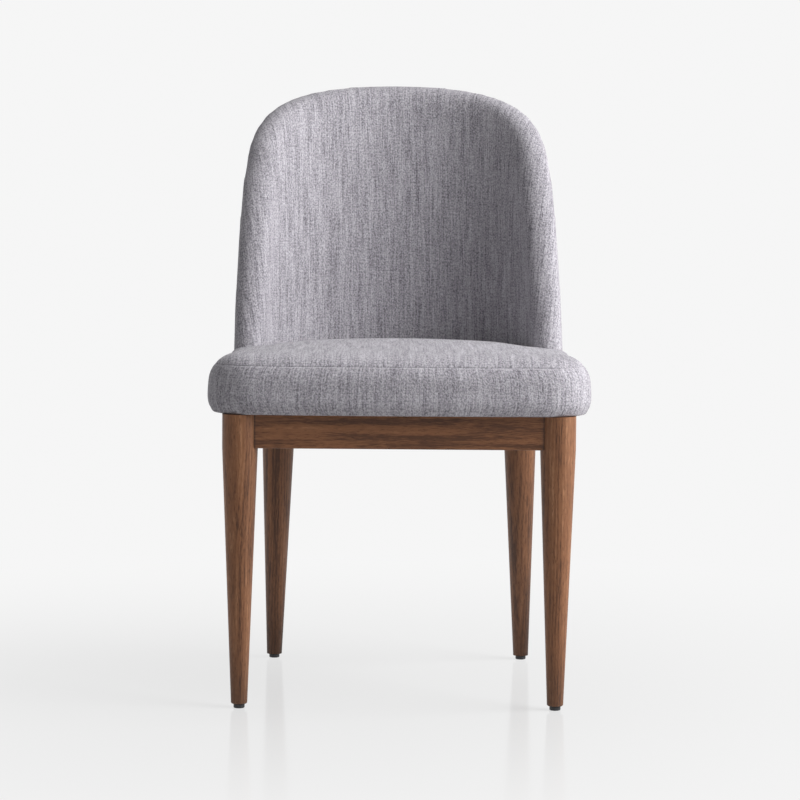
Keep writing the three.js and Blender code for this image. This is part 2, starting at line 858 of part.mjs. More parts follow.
function arcPoints(centre, radius, from, to, steps, share) {
  const points = [];
  for (let k = 0; k <= steps; k += 1) {
    const turn = from + (k / steps) * (to - from);
    points.push({
      x: centre.x + radius * Math.cos(turn), y: centre.y + radius * Math.sin(turn), share,
    });
  }
  return points;
}

function padHalf(z) {
  const wing = wingAt(z);
  const points = [];
  const cornerX = seatHalfWidth - seatCornerRadius;
  const frontY = seatFrontBow - seatFront;
  for (const across of frontShares) {
    points.push({ x: across * cornerX, y: frontY - seatFrontBow * (1 - across ** 2), share: 1 });
  }
  const corner = { x: cornerX, y: frontY + seatCornerRadius };
  points.push(...arcPoints(corner, seatCornerRadius, -quarterTurn, 0, cornerSteps, 1));
  const hipReach = wing.x + halfBack + hipProud;
  const hip = { x: hipReach - hipRadius };
  hip.y = wing.y - Math.sqrt((notchRadius + hipRadius) ** 2 - (hip.x - wing.x) ** 2);
  for (const [along, inward, share] of sideShares) {
    points.push({
      x: seatHalfWidth - inward * (seatHalfWidth - hipReach),
      y: corner.y + along * (hip.y - corner.y),
      share,
    });
  }
  const toWing = Math.atan2(wing.y - hip.y, wing.x - hip.x);
  points.push(...arcPoints(hip, hipRadius, hipStartShare * toWing, toWing, hipSteps, hipShare).slice(0, -1));
  const fromHip = toWing - Math.PI;
  const inner = -quarterTurn - wing.angle;
  points.push(arcPoints(wing, notchRadius, fromHip, inner, 1, hipShare)[0]);
  points.push(...arcPoints(wing, notchRadius, fromHip - notchTurn, inner, notchSteps, hipShare));
  for (let k = 1; k <= rearSteps; k += 1) {
    const s = wing.s * (1 - k / rearSteps);
    const place = backPoint(s, wing.h, -notchRadius - crownAt(s, wing.h));
    points.push({ x: k === rearSteps ? 0 : place.x, y: place.y, share: rearShare });
  }
  return points;
}

const bandHalfColumns = frontShares.length + cornerSteps + 1 + sideShares.length + hipSteps;
const notchEnd = bandHalfColumns + notchSteps + 1;

function wholeLoop(half) {
  const left = half.slice(1, -1).map((point) => ({ ...point, x: -point.x })).reverse();
  return [...half, ...left];
}

// Moves a closed outline in, each point by its own distance, along the bisector of its edges
function movedIn(loop, distance) {
  const count = loop.length;
  const heading = (a, b) => new THREE.Vector2(b.x - a.x, b.y - a.y).normalize();
  return loop.map((point, k) => {
    const before = heading(loop[(k + count - 1) % count], point);
    const after = heading(point, loop[(k + 1) % count]);
    const along = before.clone().add(after).normalize();
    const step = distance(point.share) / along.dot(before);
    return { ...point, x: point.x - along.y * step, y: point.y + along.x * step };
  });
}

function padRow(z, inset) {
  return movedIn(wholeLoop(padHalf(z)), (share) => inset * share)
    .map(({ x, y }) => new THREE.Vector3(x, y, z));
}

const padBottom = frameTop + gap;
const girthHeight = frameTop + girthRise;
const shoulderHeight = girthHeight + shoulderRise;
const crownHeight = shoulderHeight + crownRise;
const foamBottom = boardTop + gap;
const lowerRise = foamBottom - padBottom;
const seamAngle = Math.asin(seamRise / shoulderRise);
const seamStep = seamGap / shoulderRise;

function lowerRow(turn) {
  return padRow(padBottom + lowerRise * (1 - Math.cos(turn)), bottomDrawIn * (1 - Math.sin(turn)));
}

function upperRow(turn) {
  return padRow(girthHeight + shoulderRise * Math.sin(turn), shoulderWidth * (1 - Math.cos(turn)));
}

const tuckRows = [
  padRow(padBottom, bottomDrawIn + tuckWidth),
  ...lowerTurnShares.map((share) => lowerRow(share * quarterTurn)),
];
const sideRows = [
  lowerRow(quarterTurn),
  ...bandTurnShares.map((share) => upperRow(share * seamAngle)),
];
const shoulderRows = topTurnShares.map((share) =>
  upperRow(seamAngle + seamStep + share * (quarterTurn - seamAngle - seamStep)));
const shoulderEdge = shoulderRows.at(-1);
const crownRows = crownShares.map((share) => shoulderEdge.map((point) => {
  const reach = Math.hypot(point.x, point.y - seatPoleY);
  const turnShare = Math.min(1, (1 - share) / crownTurnShare);
  const radius = share * (reach + (crownRadius - reach) * turnShare);
  return new THREE.Vector3(
    point.x * (radius / reach),
    seatPoleY + (point.y - seatPoleY) * (radius / reach),
    crownHeight - crownRise * share ** 2,
  );
}));
const padRows = [...tuckRows, ...sideRows, ...shoulderRows, ...crownRows];
const sideFrom = tuckRows.length;
const topFrom = sideFrom + sideRows.length;

// The outward direction at each point of the cushion's surface
const padNormals = padRows.map((row, r) => row.map((point, c) => {
  if (r === padRows.length - 1) {
    return new THREE.Vector3(0, 0, 1);
  }
  const direction = (a, b) => b.clone().sub(a).normalize();
  const before = row[(c + row.length - 1) % row.length];
  const after = row[(c + 1) % row.length];
  const across = direction(before, point).add(direction(point, after));
  const up = direction(point, padRows[r + 1][c]);
  if (r > 0) {
    up.add(direction(padRows[r - 1][c], point));
  }
  return across.cross(up).normalize();
}));

function padLayer(from, to, depth, columns) {
  const rows = [];
  for (let r = from; r < to; r += 1) {
    rows.push(columns.map((c) => padRows[r][c].clone().addScaledVector(padNormals[r][c], -depth)));
  }
  return rows;
}

const columnCount = padRows[0].length;
const allColumns = Array.from({ length: columnCount }, (_, c) => c);
const bandColumns = Array.from({ length: 2 * bandHalfColumns + 1 }, (_, c) =>
  (c - bandHalfColumns + columnCount) % columnCount);
const stripColumns = Array.from({ length: columnCount - 2 * bandHalfColumns - 1 }, (_, c) =>
  c + bandHalfColumns + 1);

const seatSideBand = closedSheet(
  padLayer(0, topFrom, 0, bandColumns), padLayer(0, topFrom, clothThickness, bandColumns), false,
);
const seatRearStrip = closedSheet(
  padLayer(sideFrom, topFrom, 0, stripColumns),
  padLayer(sideFrom, topFrom, clothThickness, stripColumns),
  false,
);
const seatTopPanel = closedSheet(
  padLayer(topFrom, padRows.length, 0, allColumns),
  padLayer(topFrom, padRows.length, clothThickness, allColumns),
  true,
);
const foamRows = padLayer(sideFrom, padRows.length, clothThickness + gap, allColumns);
foamRows[0].forEach((point) => point.setZ(foamBottom));
const seatFoam = bodyOverLoop(foamRows, false);

// Seat board: under the foam, out to the ply at the rear
function boardLoop(z) {
  const edge = (share) => share * bottomDrawIn * boardEdgeShare + clothThickness + boardEdgeGap;
  const half = movedIn(wholeLoop(padHalf(z)), edge).slice(0, notchEnd + 1);
  const h = heightAlong(z);
  const inner = backPoint(earReach, h, -notchRadius - edge(rearShare));
  const rear = fieldRing.slice(middleColumn, earColumn + 1).reverse()
    .map(({ s }) => backPoint(s, h, plyFront - gap));
  rear.at(-1).setX(0);
  return wholeLoop([...half, inner, ...rear]).map(({ x, y }) => new THREE.Vector3(x, y, z));
}

const boltSpots = { front: boltSpot(frontCorner), rear: boltSpot(rearCorner) };

function bothSides(geometry) {
  return [geometry, mirrored(geometry)];
}

const seatBoard = cut(bodyOverLoop([boardLoop(boardBottom), boardLoop(boardTop)], true), [
  ...Object.values(boltSpots).flatMap((spot) => bothSides(
    joined(teeNutPocket(spot), holeAt(spot, boltHoleDiameter, boardBottom - overrun, boardTop)),
  )),
  ...atShellScrews(shellScrewHole),
]);

function dustCoverLoop(z) {
  return movedIn(wholeLoop(padHalf(z)), (share) =>
    share * (bottomDrawIn + tuckWidth) + dustCoverGap).map(({ x, y }) => new THREE.Vector3(x, y, z));
}

const dustTop = boardBottom - gap;
const dustCover = cut(
  bodyOverLoop([dustCoverLoop(dustTop - dustCoverThickness), dustCoverLoop(dustTop)], true),
  Object.values(boltSpots).flatMap((spot) =>
    bothSides(holeAt(spot, boltHoleDiameter, frameTop, boardBottom))),
);

// Assembly
function screwHolesOf(corner, which) {
  const { place, direction } = blockScrews(corner)[which];
  return aimed(blockScrewHole, place, direction);
}

addPiece("apron_front", cut(frontApron, bothSides(screwHolesOf(frontCorner, 0))), walnut);
addPiece("apron_rear", cut(rearApron, bothSides(screwHolesOf(rearCorner, 0))), walnut);

const sideApronDrilled = cut(sideApron, [screwHolesOf(frontCorner, 1), screwHolesOf(rearCorner, 1)]);
const ends = [
  { end: "front", leg: frontLeg, tool: frontLegTool, corner: frontCorner, footX: frontHalfSpan, footY: 0 },
  {
    end: "rear", leg: rearLeg, tool: rearLegTool, corner: rearCorner,
    footX: rearFootAtGlide.x, footY: rearFootAtGlide.y,
  },
];

for (const side of ["right", "left"]) {
  const placed = (geometry) => (side === "left" ? mirrored(geometry) : geometry);
  addPiece(`apron_${side}`, placed(sideApronDrilled), walnut);
  for (const { end, leg, tool, corner, footX, footY } of ends) {
    const spot = boltSpots[end];
    addPiece(`leg_${end}_${side}`, placed(leg), walnut);
    addPiece(`foot_glide_${end}_${side}`, placed(glideAt(footX, footY)), nylon);
    addPiece(`corner_block_${end}_${side}`, placed(cornerBlock(corner, tool)), blockWood);
    addPiece(`seat_bolt_${end}_${side}`, placed(boltAt(spot)), steel);
    addPiece(`bolt_washer_${end}_${side}`, placed(washerAt(spot)), steel);
    addPiece(`tee_nut_${end}_${side}`, placed(teeNutAt(spot)), steel);
    blockScrews(corner).forEach(({ place, direction }, k) => {
      addPiece(`block_screw_${end}_${side}_${k + 1}`, placed(aimed(blockScrew, place, direction)), steel);
    });
  }
}

addPiece("seat_board", seatBoard, plywood);
addPiece("seat_foam", seatFoam, foam);
addPiece("seat_top_panel", seatTopPanel, cloth);
addPiece("seat_side_band", seatSideBand, cloth);
addPiece("seat_rear_strip", seatRearStrip, cloth);
addPiece("dust_cover", dustCover, lining);
addPiece("back_shell", backShell, plywood);
addPiece("back_front_foam", backFrontFoam, foam);
addPiece("back_rear_foam", backRearFoam, foam);
addPiece("back_front_cover", backFrontCover, cloth);
addPiece("back_rear_cover", backRearCover, cloth);
shellScrews.forEach(({ place, direction }, k) => {
  addPiece(`shell_screw_${k + 1}`, aimed(shellScrew, place, direction), steel);
});

// The origin lies under the middle of the whole chair
const extent = new THREE.Box3().setFromObject(chair);
chair.position.y = -(extent.min.y + extent.max.y) / 2;

export default chair;
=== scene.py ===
import math

import bpy
import numpy as np
from mathutils import Matrix, Vector


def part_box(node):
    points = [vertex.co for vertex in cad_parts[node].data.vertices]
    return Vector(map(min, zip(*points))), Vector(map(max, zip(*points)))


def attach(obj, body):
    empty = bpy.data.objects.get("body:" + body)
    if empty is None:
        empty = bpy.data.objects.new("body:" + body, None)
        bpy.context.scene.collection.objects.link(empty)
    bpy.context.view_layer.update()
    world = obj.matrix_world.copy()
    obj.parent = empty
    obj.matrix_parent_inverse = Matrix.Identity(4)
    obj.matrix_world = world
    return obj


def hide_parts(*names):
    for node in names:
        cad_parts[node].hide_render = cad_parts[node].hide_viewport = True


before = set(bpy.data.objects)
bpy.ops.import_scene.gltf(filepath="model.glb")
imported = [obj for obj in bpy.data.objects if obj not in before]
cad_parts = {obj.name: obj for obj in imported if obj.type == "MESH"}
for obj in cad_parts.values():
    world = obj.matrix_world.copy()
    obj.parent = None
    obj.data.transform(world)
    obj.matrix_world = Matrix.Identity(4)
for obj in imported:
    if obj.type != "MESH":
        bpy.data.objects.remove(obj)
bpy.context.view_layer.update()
scene = bpy.context.scene
scene.view_settings.view_transform = "Standard"


# Camera: a long lens four metres ahead of the front legs, level with the upper part of the back
# and tilted slightly down. It frames a square picture.
CAMERA_DISTANCE = 4.05
CAMERA_HEIGHT = 0.738
CAMERA_SIDE = 0.0008
CAMERA_TILT = math.radians(4.548)
CAMERA_ROLL = math.radians(0.45)
LENS = 137.3
SENSOR = 36


def box_middle(node):
    """The middle of a node's box."""
    low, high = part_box(node)
    return (low + high) / 2


front_leg_y = box_middle("leg_front_right").y
camera_data = bpy.data.cameras.new("camera")
camera_data.lens = LENS
camera_data.sensor_width = SENSOR
camera = bpy.data.objects.new("camera", camera_data)
scene.collection.objects.link(camera)
camera.matrix_world = (
    Matrix.Translation((CAMERA_SIDE, front_leg_y - CAMERA_DISTANCE, CAMERA_HEIGHT))
    @ Matrix.Rotation(math.pi / 2 - CAMERA_TILT, 4, "X")
    @ Matrix.Rotation(CAMERA_ROLL, 4, "Z")
)
scene.camera = camera


# Studio: a pale seamless floor and backdrop. Close to the chair the floor's glow is painted darker,
# a painted shadow, and it also takes a share of its real soft shadow and a faint reflection; further
# off it runs into the backdrop without an edge.
FLOOR_REACH = 60
FLOOR_SQUARES = 8
BACKDROP_TONE = 0.92
# Painted shadow: the floor's glow is darker close to the chair, darkest between the front legs.
FLOOR_PAINTED_SHADOW_TONE = 0.83
FLOOR_PAINTED_SHADOW_MIDDLE = (0, -0.2, 0)        # between the front legs
FLOOR_SHADOW_SHARE = 0.14           # part of the floor's tone that follows the light on it
FLOOR_PAINT = 0.8
FLOOR_BOUNCE = 0.6                  # paint that the chair sees, darker so that less light comes up
FLOOR_PALE_FROM = 1.5               # from here on it has the backdrop's tone
FLOOR_GLOSS = 0.145
FLOOR_GLOSS_ROUGHNESS = 0.12


class Wire:
    """An output of a node, so that maths between outputs is written as an expression."""

    def __init__(self, nodes, socket):
        self.nodes = nodes
        self.socket = socket

    def maths(self, operation, first, second):
        settings = {"operation": operation}
        return self.nodes.node("ShaderNodeMath", settings, {0: first, 1: second})

    def __add__(self, other):
        return self.maths("ADD", self, other)

    __radd__ = __add__

    def __mul__(self, other):
        return self.maths("MULTIPLY", self, other)

    __rmul__ = __mul__

    def __sub__(self, other):
        return self.maths("SUBTRACT", self, other)

    def __rsub__(self, other):
        return self.maths("SUBTRACT", other, self)

    def __truediv__(self, other):
        return self.maths("DIVIDE", self, other)

    def larger(self, other):
        return self.maths("MAXIMUM", self, other)

    def size(self):
        return self.maths("ABSOLUTE", self, 0)


class Nodes:
    """The nodes of a material or of the world. Every node is added by node()."""

    def __init__(self, owner):
        owner.use_nodes = True
        self.owner = owner
        self.tree = owner.node_tree
        self.tree.nodes.clear()

    def node(self, kind, settings=(), inputs=(), output=None):
        made = self.tree.nodes.new(kind)
        for key, value in dict(settings).items():
            setattr(made, key, value)
        for key, value in dict(inputs).items():
            by_name = [s for s in made.inputs if s.enabled and s.name == key]
            socket = by_name[0] if by_name else made.inputs[key]
            if isinstance(value, Wire):
                self.tree.links.new(value.socket, socket)
            elif socket.type == "RGBA":
                socket.default_value = (*value, 1)
            else:
                socket.default_value = value
        outputs = [s for s in made.outputs if s.enabled and output in (None, s.name)]
        return Wire(self, outputs[0]) if outputs else None

    def between(self, low_color, high_color, share):
        """A colour that goes from one to the other with the share."""
        inputs = {"Factor": share, "A": low_color, "B": high_color}
        return self.node("ShaderNodeMix", {"data_type": "RGBA"}, inputs)

    def ramp(self, value, start, end):
        """Zero below the start and one above the end, and smooth in between."""
        inputs = {"Value": value, "From Min": start, "From Max": end}
        return self.node("ShaderNodeMapRange", {"interpolation_type": "SMOOTHSTEP"}, inputs)


def grey(tone):
    return (tone, tone, tone)


def seen_directly(nodes):
    """One for rays that go straight to the camera, or to it off something shiny."""
    camera_ray = nodes.node("ShaderNodeLightPath", output="Is Camera Ray")
    glossy_ray = nodes.node("ShaderNodeLightPath", output="Is Glossy Ray")
    return camera_ray.larger(glossy_ray)


bpy.ops.object.select_all(action="DESELECT")
bpy.ops.mesh.primitive_grid_add(
    x_subdivisions=FLOOR_SQUARES, y_subdivisions=FLOOR_SQUARES, size=FLOOR_REACH,
)
floor = bpy.context.object
floor.name = "floor"

floor_nodes = Nodes(bpy.data.materials.new("pale_floor"))
floor_place = floor_nodes.node("ShaderNodeTexCoord", output="Object")
floor_distance = floor_nodes.node(
    "ShaderNodeVectorMath", {"operation": "DISTANCE"}, {0: floor_place, 1: FLOOR_PAINTED_SHADOW_MIDDLE}, "Value",
)
floor_near = 1 - floor_nodes.ramp(floor_distance, 0, FLOOR_PALE_FROM)
# The glow darkens towards the chair, a painted shadow; the diffuse share below takes the real one.
floor_glow = floor_nodes.node("ShaderNodeEmission", {}, {
    "Color": floor_nodes.between(grey(BACKDROP_TONE), grey(FLOOR_PAINTED_SHADOW_TONE), floor_near),
})
floor_lit = floor_nodes.node("ShaderNodeBsdfDiffuse", {}, {"Color": grey(FLOOR_PAINT)})
floor_sheen = floor_nodes.node("ShaderNodeBsdfGlossy", {}, {"Roughness": FLOOR_GLOSS_ROUGHNESS})
floor_shown = floor_nodes.node("ShaderNodeMixShader", {}, {
    0: floor_near * FLOOR_SHADOW_SHARE, 1: floor_glow, 2: floor_lit,
})
floor_shown = floor_nodes.node("ShaderNodeMixShader", {}, {
    0: floor_near * floor_near * floor_near * FLOOR_GLOSS, 1: floor_shown, 2: floor_sheen,
})
floor_hidden = floor_nodes.node("ShaderNodeBsdfDiffuse", {}, {"Color": grey(FLOOR_BOUNCE)})
floor_nodes.node("ShaderNodeOutputMaterial", {}, {
    "Surface": floor_nodes.node("ShaderNodeMixShader", {}, {
        0: seen_directly(floor_nodes), 1: floor_hidden, 2: floor_shown,
    }),
})
floor.data.materials.append(floor_nodes.owner)


# Light: one large soft lamp from the right and above, a weak one from the left, a faint even light
# from overhead, and what the pale floor throws back up.
LAMP_DISTANCE = 2.7
LIT_HEIGHT = 0.45
KEY_DIRECTION = Vector((0.8, -0.25, 0.5))
KEY_SIZE = 2.4
KEY_LEVEL = 1.95
FILL_DIRECTION = Vector((-0.95, -0.1, 0.45))
FILL_SIZE = 1.6
FILL_LEVEL = 0.12
ABOVE_LEVEL = 0.44
AROUND_LEVEL = 0.04                 # from the sides, and nothing from below
SKY_EDGE = (-0.2, 0.1)              # heights between which it fades to nothing


def soft_lamp(name, direction, size, level):
    """A round lamp that faces the chair. At level 1, a surface that faces it shows its own colour."""
    data = bpy.data.lights.new(name, "AREA")
    data.shape = "DISK"
    data.size = size
    data.energy = level * (math.pi * LAMP_DISTANCE) ** 2
    lamp = bpy.data.objects.new(name, data)
    scene.collection.objects.link(lamp)
    lamp.location = Vector((0, 0, LIT_HEIGHT)) + direction.normalized() * LAMP_DISTANCE
    lamp.rotation_euler = direction.to_track_quat("Z", "Y").to_euler()
    lamp.visible_camera = False


soft_lamp("key", KEY_DIRECTION, KEY_SIZE, KEY_LEVEL)
soft_lamp("fill", FILL_DIRECTION, FILL_SIZE, FILL_LEVEL)

scene.world = bpy.data.worlds.new("studio")
world_nodes = Nodes(scene.world)
sky_height = world_nodes.node(
    "ShaderNodeSeparateXYZ", {}, {0: world_nodes.node("ShaderNodeTexCoord", output="Generated")}, "Z",
)
sky = world_nodes.between(grey(0), grey(AROUND_LEVEL), world_nodes.ramp(sky_height, *SKY_EDGE))
sky = world_nodes.between(sky, grey(ABOVE_LEVEL), world_nodes.ramp(sky_height, 0, 1))
world_nodes.node("ShaderNodeOutputWorld", {}, {
    "Surface": world_nodes.node("ShaderNodeMixShader", {}, {
        0: seen_directly(world_nodes),
        1: world_nodes.node("ShaderNodeBackground", {}, {"Color": sky}),
        2: world_nodes.node("ShaderNodeBackground", {}, {"Color": grey(BACKDROP_TONE)}),
    }),
})


# Legs: four solid walnut turnings, straight beside the aprons and tapered down to a small foot,
# sanded and finished with a satin lacquer. The rear ones lean back and their ends are cut level.
LEG_SIDES = 64
LEG_RADIUS = 0.023875
FOOT_RADIUS = 0.011
FOOT_CHAMFER = 0.0012
LEG_TRIM = 0.05                     # left on a rear leg beyond its two level cuts
WALNUT_DARK = (0.076, 0.03, 0.0135)
WALNUT_MIDDLE = (0.2, 0.084, 0.037)
WALNUT_LIGHT = (0.36, 0.183, 0.094)
# The pores' colour, also used for the painted shade at joints and the darkening towards the floor.
WALNUT_PORE_AND_SHADE = (0.035, 0.016, 0.009)
RING_WIDTH = 0.0042                 # one year's growth
PITH_OFFSET = (0.05, 0.085, 0)      # the tree's middle lies outside every piece
FIGURE_CELL = (0.010, 0.010, 0.2)   # size of the broad figure: across, across, along the grain
FIBRE_CELL = (0.0013, 0.0013, 0.014)
PORE_CELL = (0.001, 0.001, 0.007)
FIGURE_SHARE, FIBRE_SHARE, RING_SHARE, PORE_SHARE = 1.6, 1.05, 0.25, 0.45
MIDDLE_AT, LIGHT_AT = 0.5, 1.15     # tones at which the wood has its middle and its light colour
GRAIN_DEPTH = 0.0002
LACQUER_ROUGHNESS = 0.46
LACQUER_SPECULAR = 0.32
# Painted shade where an apron meets a leg: how dark, and how far out from the leg.
JOINT_PAINTED_SHADE, JOINT_PAINTED_SHADE_WIDTH = 0.8, 0.0035
# Darker towards the floor: how much, and up to what height.
FOOT_SHADE, FOOT_SHADE_HEIGHT = 0.5, 0.11
FRONT_LEG_TONE = 0.5                # where the wood lies between its dark and its light
# Painted shade: the rear legs, behind and under the seat, take a darker tone of the same walnut.
REAR_LEG_SHADED_TONE = 0.3
LEG_PATTERN_SHIFT = 0.37            # moves the figure, so that no two legs are alike
SMOOTH_BELOW = math.radians(25)     # edges sharper than this stay crisp
SAME_POINT = 1e-5                   # points closer than this are one


def wave_scale(width):
    """The scale at which the wave texture repeats once in this width."""
    return 2 * math.pi / (20 * width)


def walnut(name, centre, along, middle_tone, joints=()):
    """Satin walnut with its grain along a direction, and its pattern placed from the centre.

    The colour is painted darker close to a joint, given by the axis of the upright leg there, as
    painted shade in the corner, and it is darker towards the floor.
    """
    wood = Nodes(bpy.data.materials.new(name))
    place = wood.node("ShaderNodeTexCoord", output="Object")
    turn = along.to_track_quat("Z", "Y").to_euler()

    def pattern_place(cell, offset=(0, 0, 0)):
        inputs = {
            "Vector": place, "Location": centre + Vector(offset), "Rotation": turn, "Scale": cell,
        }
        return wood.node("ShaderNodeMapping", {"vector_type": "TEXTURE"}, inputs)

    def grain(cell, detail, distortion):
        inputs = {
            "Vector": pattern_place(cell), "Scale": 1, "Detail": detail, "Distortion": distortion,
        }
        return wood.node("ShaderNodeTexNoise", {}, inputs) - 0.5

    figure = grain(FIGURE_CELL, 3, 0.6)
    fibre = grain(FIBRE_CELL, 2, 0)
    rings = wood.node("ShaderNodeTexWave", {"wave_type": "RINGS", "rings_direction": "Z"}, {
        "Vector": pattern_place((1, 1, 6), PITH_OFFSET),
        "Scale": wave_scale(RING_WIDTH),
        "Distortion": 5, "Detail": 2, "Detail Scale": 0.6,
    }, "Fac") - 0.5
    pores = wood.ramp(grain(PORE_CELL, 1, 0), 0.1, 0.2)
    tone = middle_tone + figure * FIGURE_SHARE + fibre * FIBRE_SHARE + rings * RING_SHARE
    wood_color = wood.between(WALNUT_DARK, WALNUT_MIDDLE, wood.ramp(tone, 0, MIDDLE_AT))
    wood_color = wood.between(wood_color, WALNUT_LIGHT, wood.ramp(tone, MIDDLE_AT, LIGHT_AT))
    wood_color = wood.between(wood_color, WALNUT_PORE_AND_SHADE, pores * PORE_SHARE)
    # Painted shade in the corner where an apron meets a leg.
    for axis in joints:
        level_place = wood.node("ShaderNodeVectorMath", {"operation": "MULTIPLY"}, {
            0: place, 1: (1, 1, 0),
        })
        from_axis = wood.node("ShaderNodeVectorMath", {"operation": "DISTANCE"}, {
            0: level_place, 1: (axis.x, axis.y, 0),
        }, "Value")
        joint_painted_shade = 1 - wood.ramp(from_axis, LEG_RADIUS, LEG_RADIUS + JOINT_PAINTED_SHADE_WIDTH)
        wood_color = wood.between(wood_color, WALNUT_PORE_AND_SHADE, joint_painted_shade * JOINT_PAINTED_SHADE)
    # Darker towards the floor.
    height = wood.node("ShaderNodeSeparateXYZ", {}, {0: place}, "Z")
    near_floor = 1 - wood.ramp(height, 0, FOOT_SHADE_HEIGHT)
    wood_color = wood.between(wood_color, WALNUT_PORE_AND_SHADE, near_floor * FOOT_SHADE)
    surface = wood.node("ShaderNodeBump", {}, {
        "Height": fibre * 0.5 - pores, "Strength": 0.25, "Distance": GRAIN_DEPTH,
    })
    wood.node("ShaderNodeOutputMaterial", {}, {
        "Surface": wood.node("ShaderNodeBsdfPrincipled", {}, {
            "Base Color": wood_color, "Roughness": LACQUER_ROUGHNESS + pores * 0.15 - fibre * 0.1,
            "Normal": surface, "Specular IOR Level": LACQUER_SPECULAR,
        }),
    })
    return wood.owner


def take_up(*objects):
    """Makes these the only selected objects, and the first one active."""
    bpy.ops.object.select_all(action="DESELECT")
    for item in objects:
        item.select_set(True)
    bpy.context.view_layer.objects.active = objects[0]


def finish_with(piece, material):
    """Gives a piece this one material."""
    piece.data.materials.clear()
    piece.data.materials.append(material)


def turned(name, rings, sides):
    """A solid turned piece on the z axis, through rings given as (radius, height) from below."""
    bpy.ops.object.select_all(action="DESELECT")
    bpy.ops.mesh.primitive_circle_add(
        vertices=sides, radius=rings[0][0], fill_type="NGON", location=(0, 0, rings[0][1]),
    )
    piece = bpy.context.object
    piece.name = name
    bpy.ops.object.transform_apply()
    bpy.ops.object.mode_set(mode="EDIT")
    bpy.ops.mesh.select_all(action="SELECT")
    for (radius, height), (next_radius, next_height) in zip(rings, rings[1:]):
        rise = (0, 0, next_height - height)
        bpy.ops.mesh.extrude_region_move(TRANSFORM_OT_translate={"value": rise})
        widen = next_radius / radius
        bpy.ops.transform.resize(value=(widen, widen, 1), center_override=(0, 0, next_height))
    bpy.ops.mesh.select_all(action="SELECT")
    bpy.ops.mesh.normals_make_consistent(inside=False)
    bpy.ops.object.mode_set(mode="OBJECT")
    bpy.ops.object.shade_smooth_by_angle(angle=SMOOTH_BELOW)
    return piece


def moved_copy(piece, name, matrix):
    """A copy with its own mesh, put in place by the matrix and left at the origin."""
    copy = bpy.data.objects.new(name, piece.data.copy())
    scene.collection.objects.link(copy)
    copy.matrix_world = matrix
    take_up(copy)
    bpy.ops.object.transform_apply()
    bpy.ops.object.mode_set(mode="EDIT")
    bpy.ops.mesh.select_all(action="SELECT")
    bpy.ops.mesh.normals_make_consistent(inside=False)
    bpy.ops.object.mode_set(mode="OBJECT")
    return copy


def level_cut(piece, height, keep_below):
    """Saws a piece off level, and closes the cut."""
    take_up(piece)
    bpy.ops.object.mode_set(mode="EDIT")
    bpy.ops.mesh.select_all(action="SELECT")
    bpy.ops.mesh.bisect(
        plane_co=(0, 0, height), plane_no=(0, 0, 1), use_fill=True,
        clear_outer=keep_below, clear_inner=not keep_below,
    )
    bpy.ops.object.mode_set(mode="OBJECT")


def level_centre(node, share):
    """The middle of a node's cross-section at its lowest (0) or highest (1) points."""
    low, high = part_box(node)
    height = low.z + share * (high.z - low.z)
    ring = [v.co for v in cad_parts[node].data.vertices if abs(v.co.z - height) < SAME_POINT]
    return Vector((
        (min(p.x for p in ring) + max(p.x for p in ring)) / 2,
        (min(p.y for p in ring) + max(p.y for p in ring)) / 2,
        height,
    ))


frame_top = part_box("leg_front_right")[1].z
apron_drop = frame_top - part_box("apron_front")[0].z
leg_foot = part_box("leg_front_right")[0].z


def leg_rings(stretch, extra):
    """The leg's profile, stretched along a leaning axis, with extra length at both ends."""
    narrow = FOOT_RADIUS - (LEG_RADIUS - FOOT_RADIUS) * extra / (frame_top - apron_drop - leg_foot)
    foot = [(narrow, leg_foot - extra)] if extra else [
        (FOOT_RADIUS - FOOT_CHAMFER, leg_foot), (FOOT_RADIUS, leg_foot + FOOT_CHAMFER),
    ]
    shaft = [(LEG_RADIUS, frame_top - apron_drop), (LEG_RADIUS, frame_top + extra)]
    return [(radius, height * stretch) for radius, height in [*foot, *shaft]]


front_blank = turned("front_leg_blank", leg_rings(1, 0), LEG_SIDES)
rear_foot = level_centre("leg_rear_right", 0)
rear_top = level_centre("leg_rear_right", 1)
rear_axis = rear_top - rear_foot
rear_stretch = rear_axis.length / rear_axis.z
rear_blank = turned("rear_leg_blank", leg_rings(rear_stretch, LEG_TRIM), LEG_SIDES)
up = Vector((0, 0, 1))
front_place = Matrix.Translation((box_middle("leg_front_right").x, front_leg_y, 0))
lean = up.rotation_difference(rear_axis).to_matrix().to_4x4()
rear_place = Matrix.Translation(rear_foot - rear_axis * (rear_foot.z / rear_axis.z)) @ lean

for side, sign in (("right", 1), ("left", -1)):
    flip = Matrix.Diagonal((sign, 1, 1, 1))
    for end, blank, place, axis, tone in (
        ("front", front_blank, front_place, up, FRONT_LEG_TONE),
        ("rear", rear_blank, rear_place, rear_axis, REAR_LEG_SHADED_TONE),
    ):
        node = f"leg_{end}_{side}"
        leg = moved_copy(blank, f"walnut_{node}", flip @ place)
        if end == "rear":
            level_cut(leg, frame_top, True)
            level_cut(leg, leg_foot, False)
        along = Vector((sign * axis.x, axis.y, axis.z))
        centre = box_middle(node) * (1 + LEG_PATTERN_SHIFT * sign)
        finish_with(leg, walnut(f"walnut_{end}_{side}", centre, along, tone))
        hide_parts(node)
        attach(leg, "root")
for blank in (front_blank, rear_blank):
    bpy.data.objects.remove(blank)


# Glides: a black moulded nylon pad under each foot, with a rounded edge and its nail driven up
# into the end grain.
GLIDE_SIDES = 48
GLIDE_RADIUS = 0.0075
GLIDE_EDGE = 0.0012
GLIDE_JOINT = 0.0003                # air between the pad and the foot
NAIL_RADIUS = 0.0013
NAIL_LENGTH = 0.015
NYLON_TONE = (0.012, 0.012, 0.014)


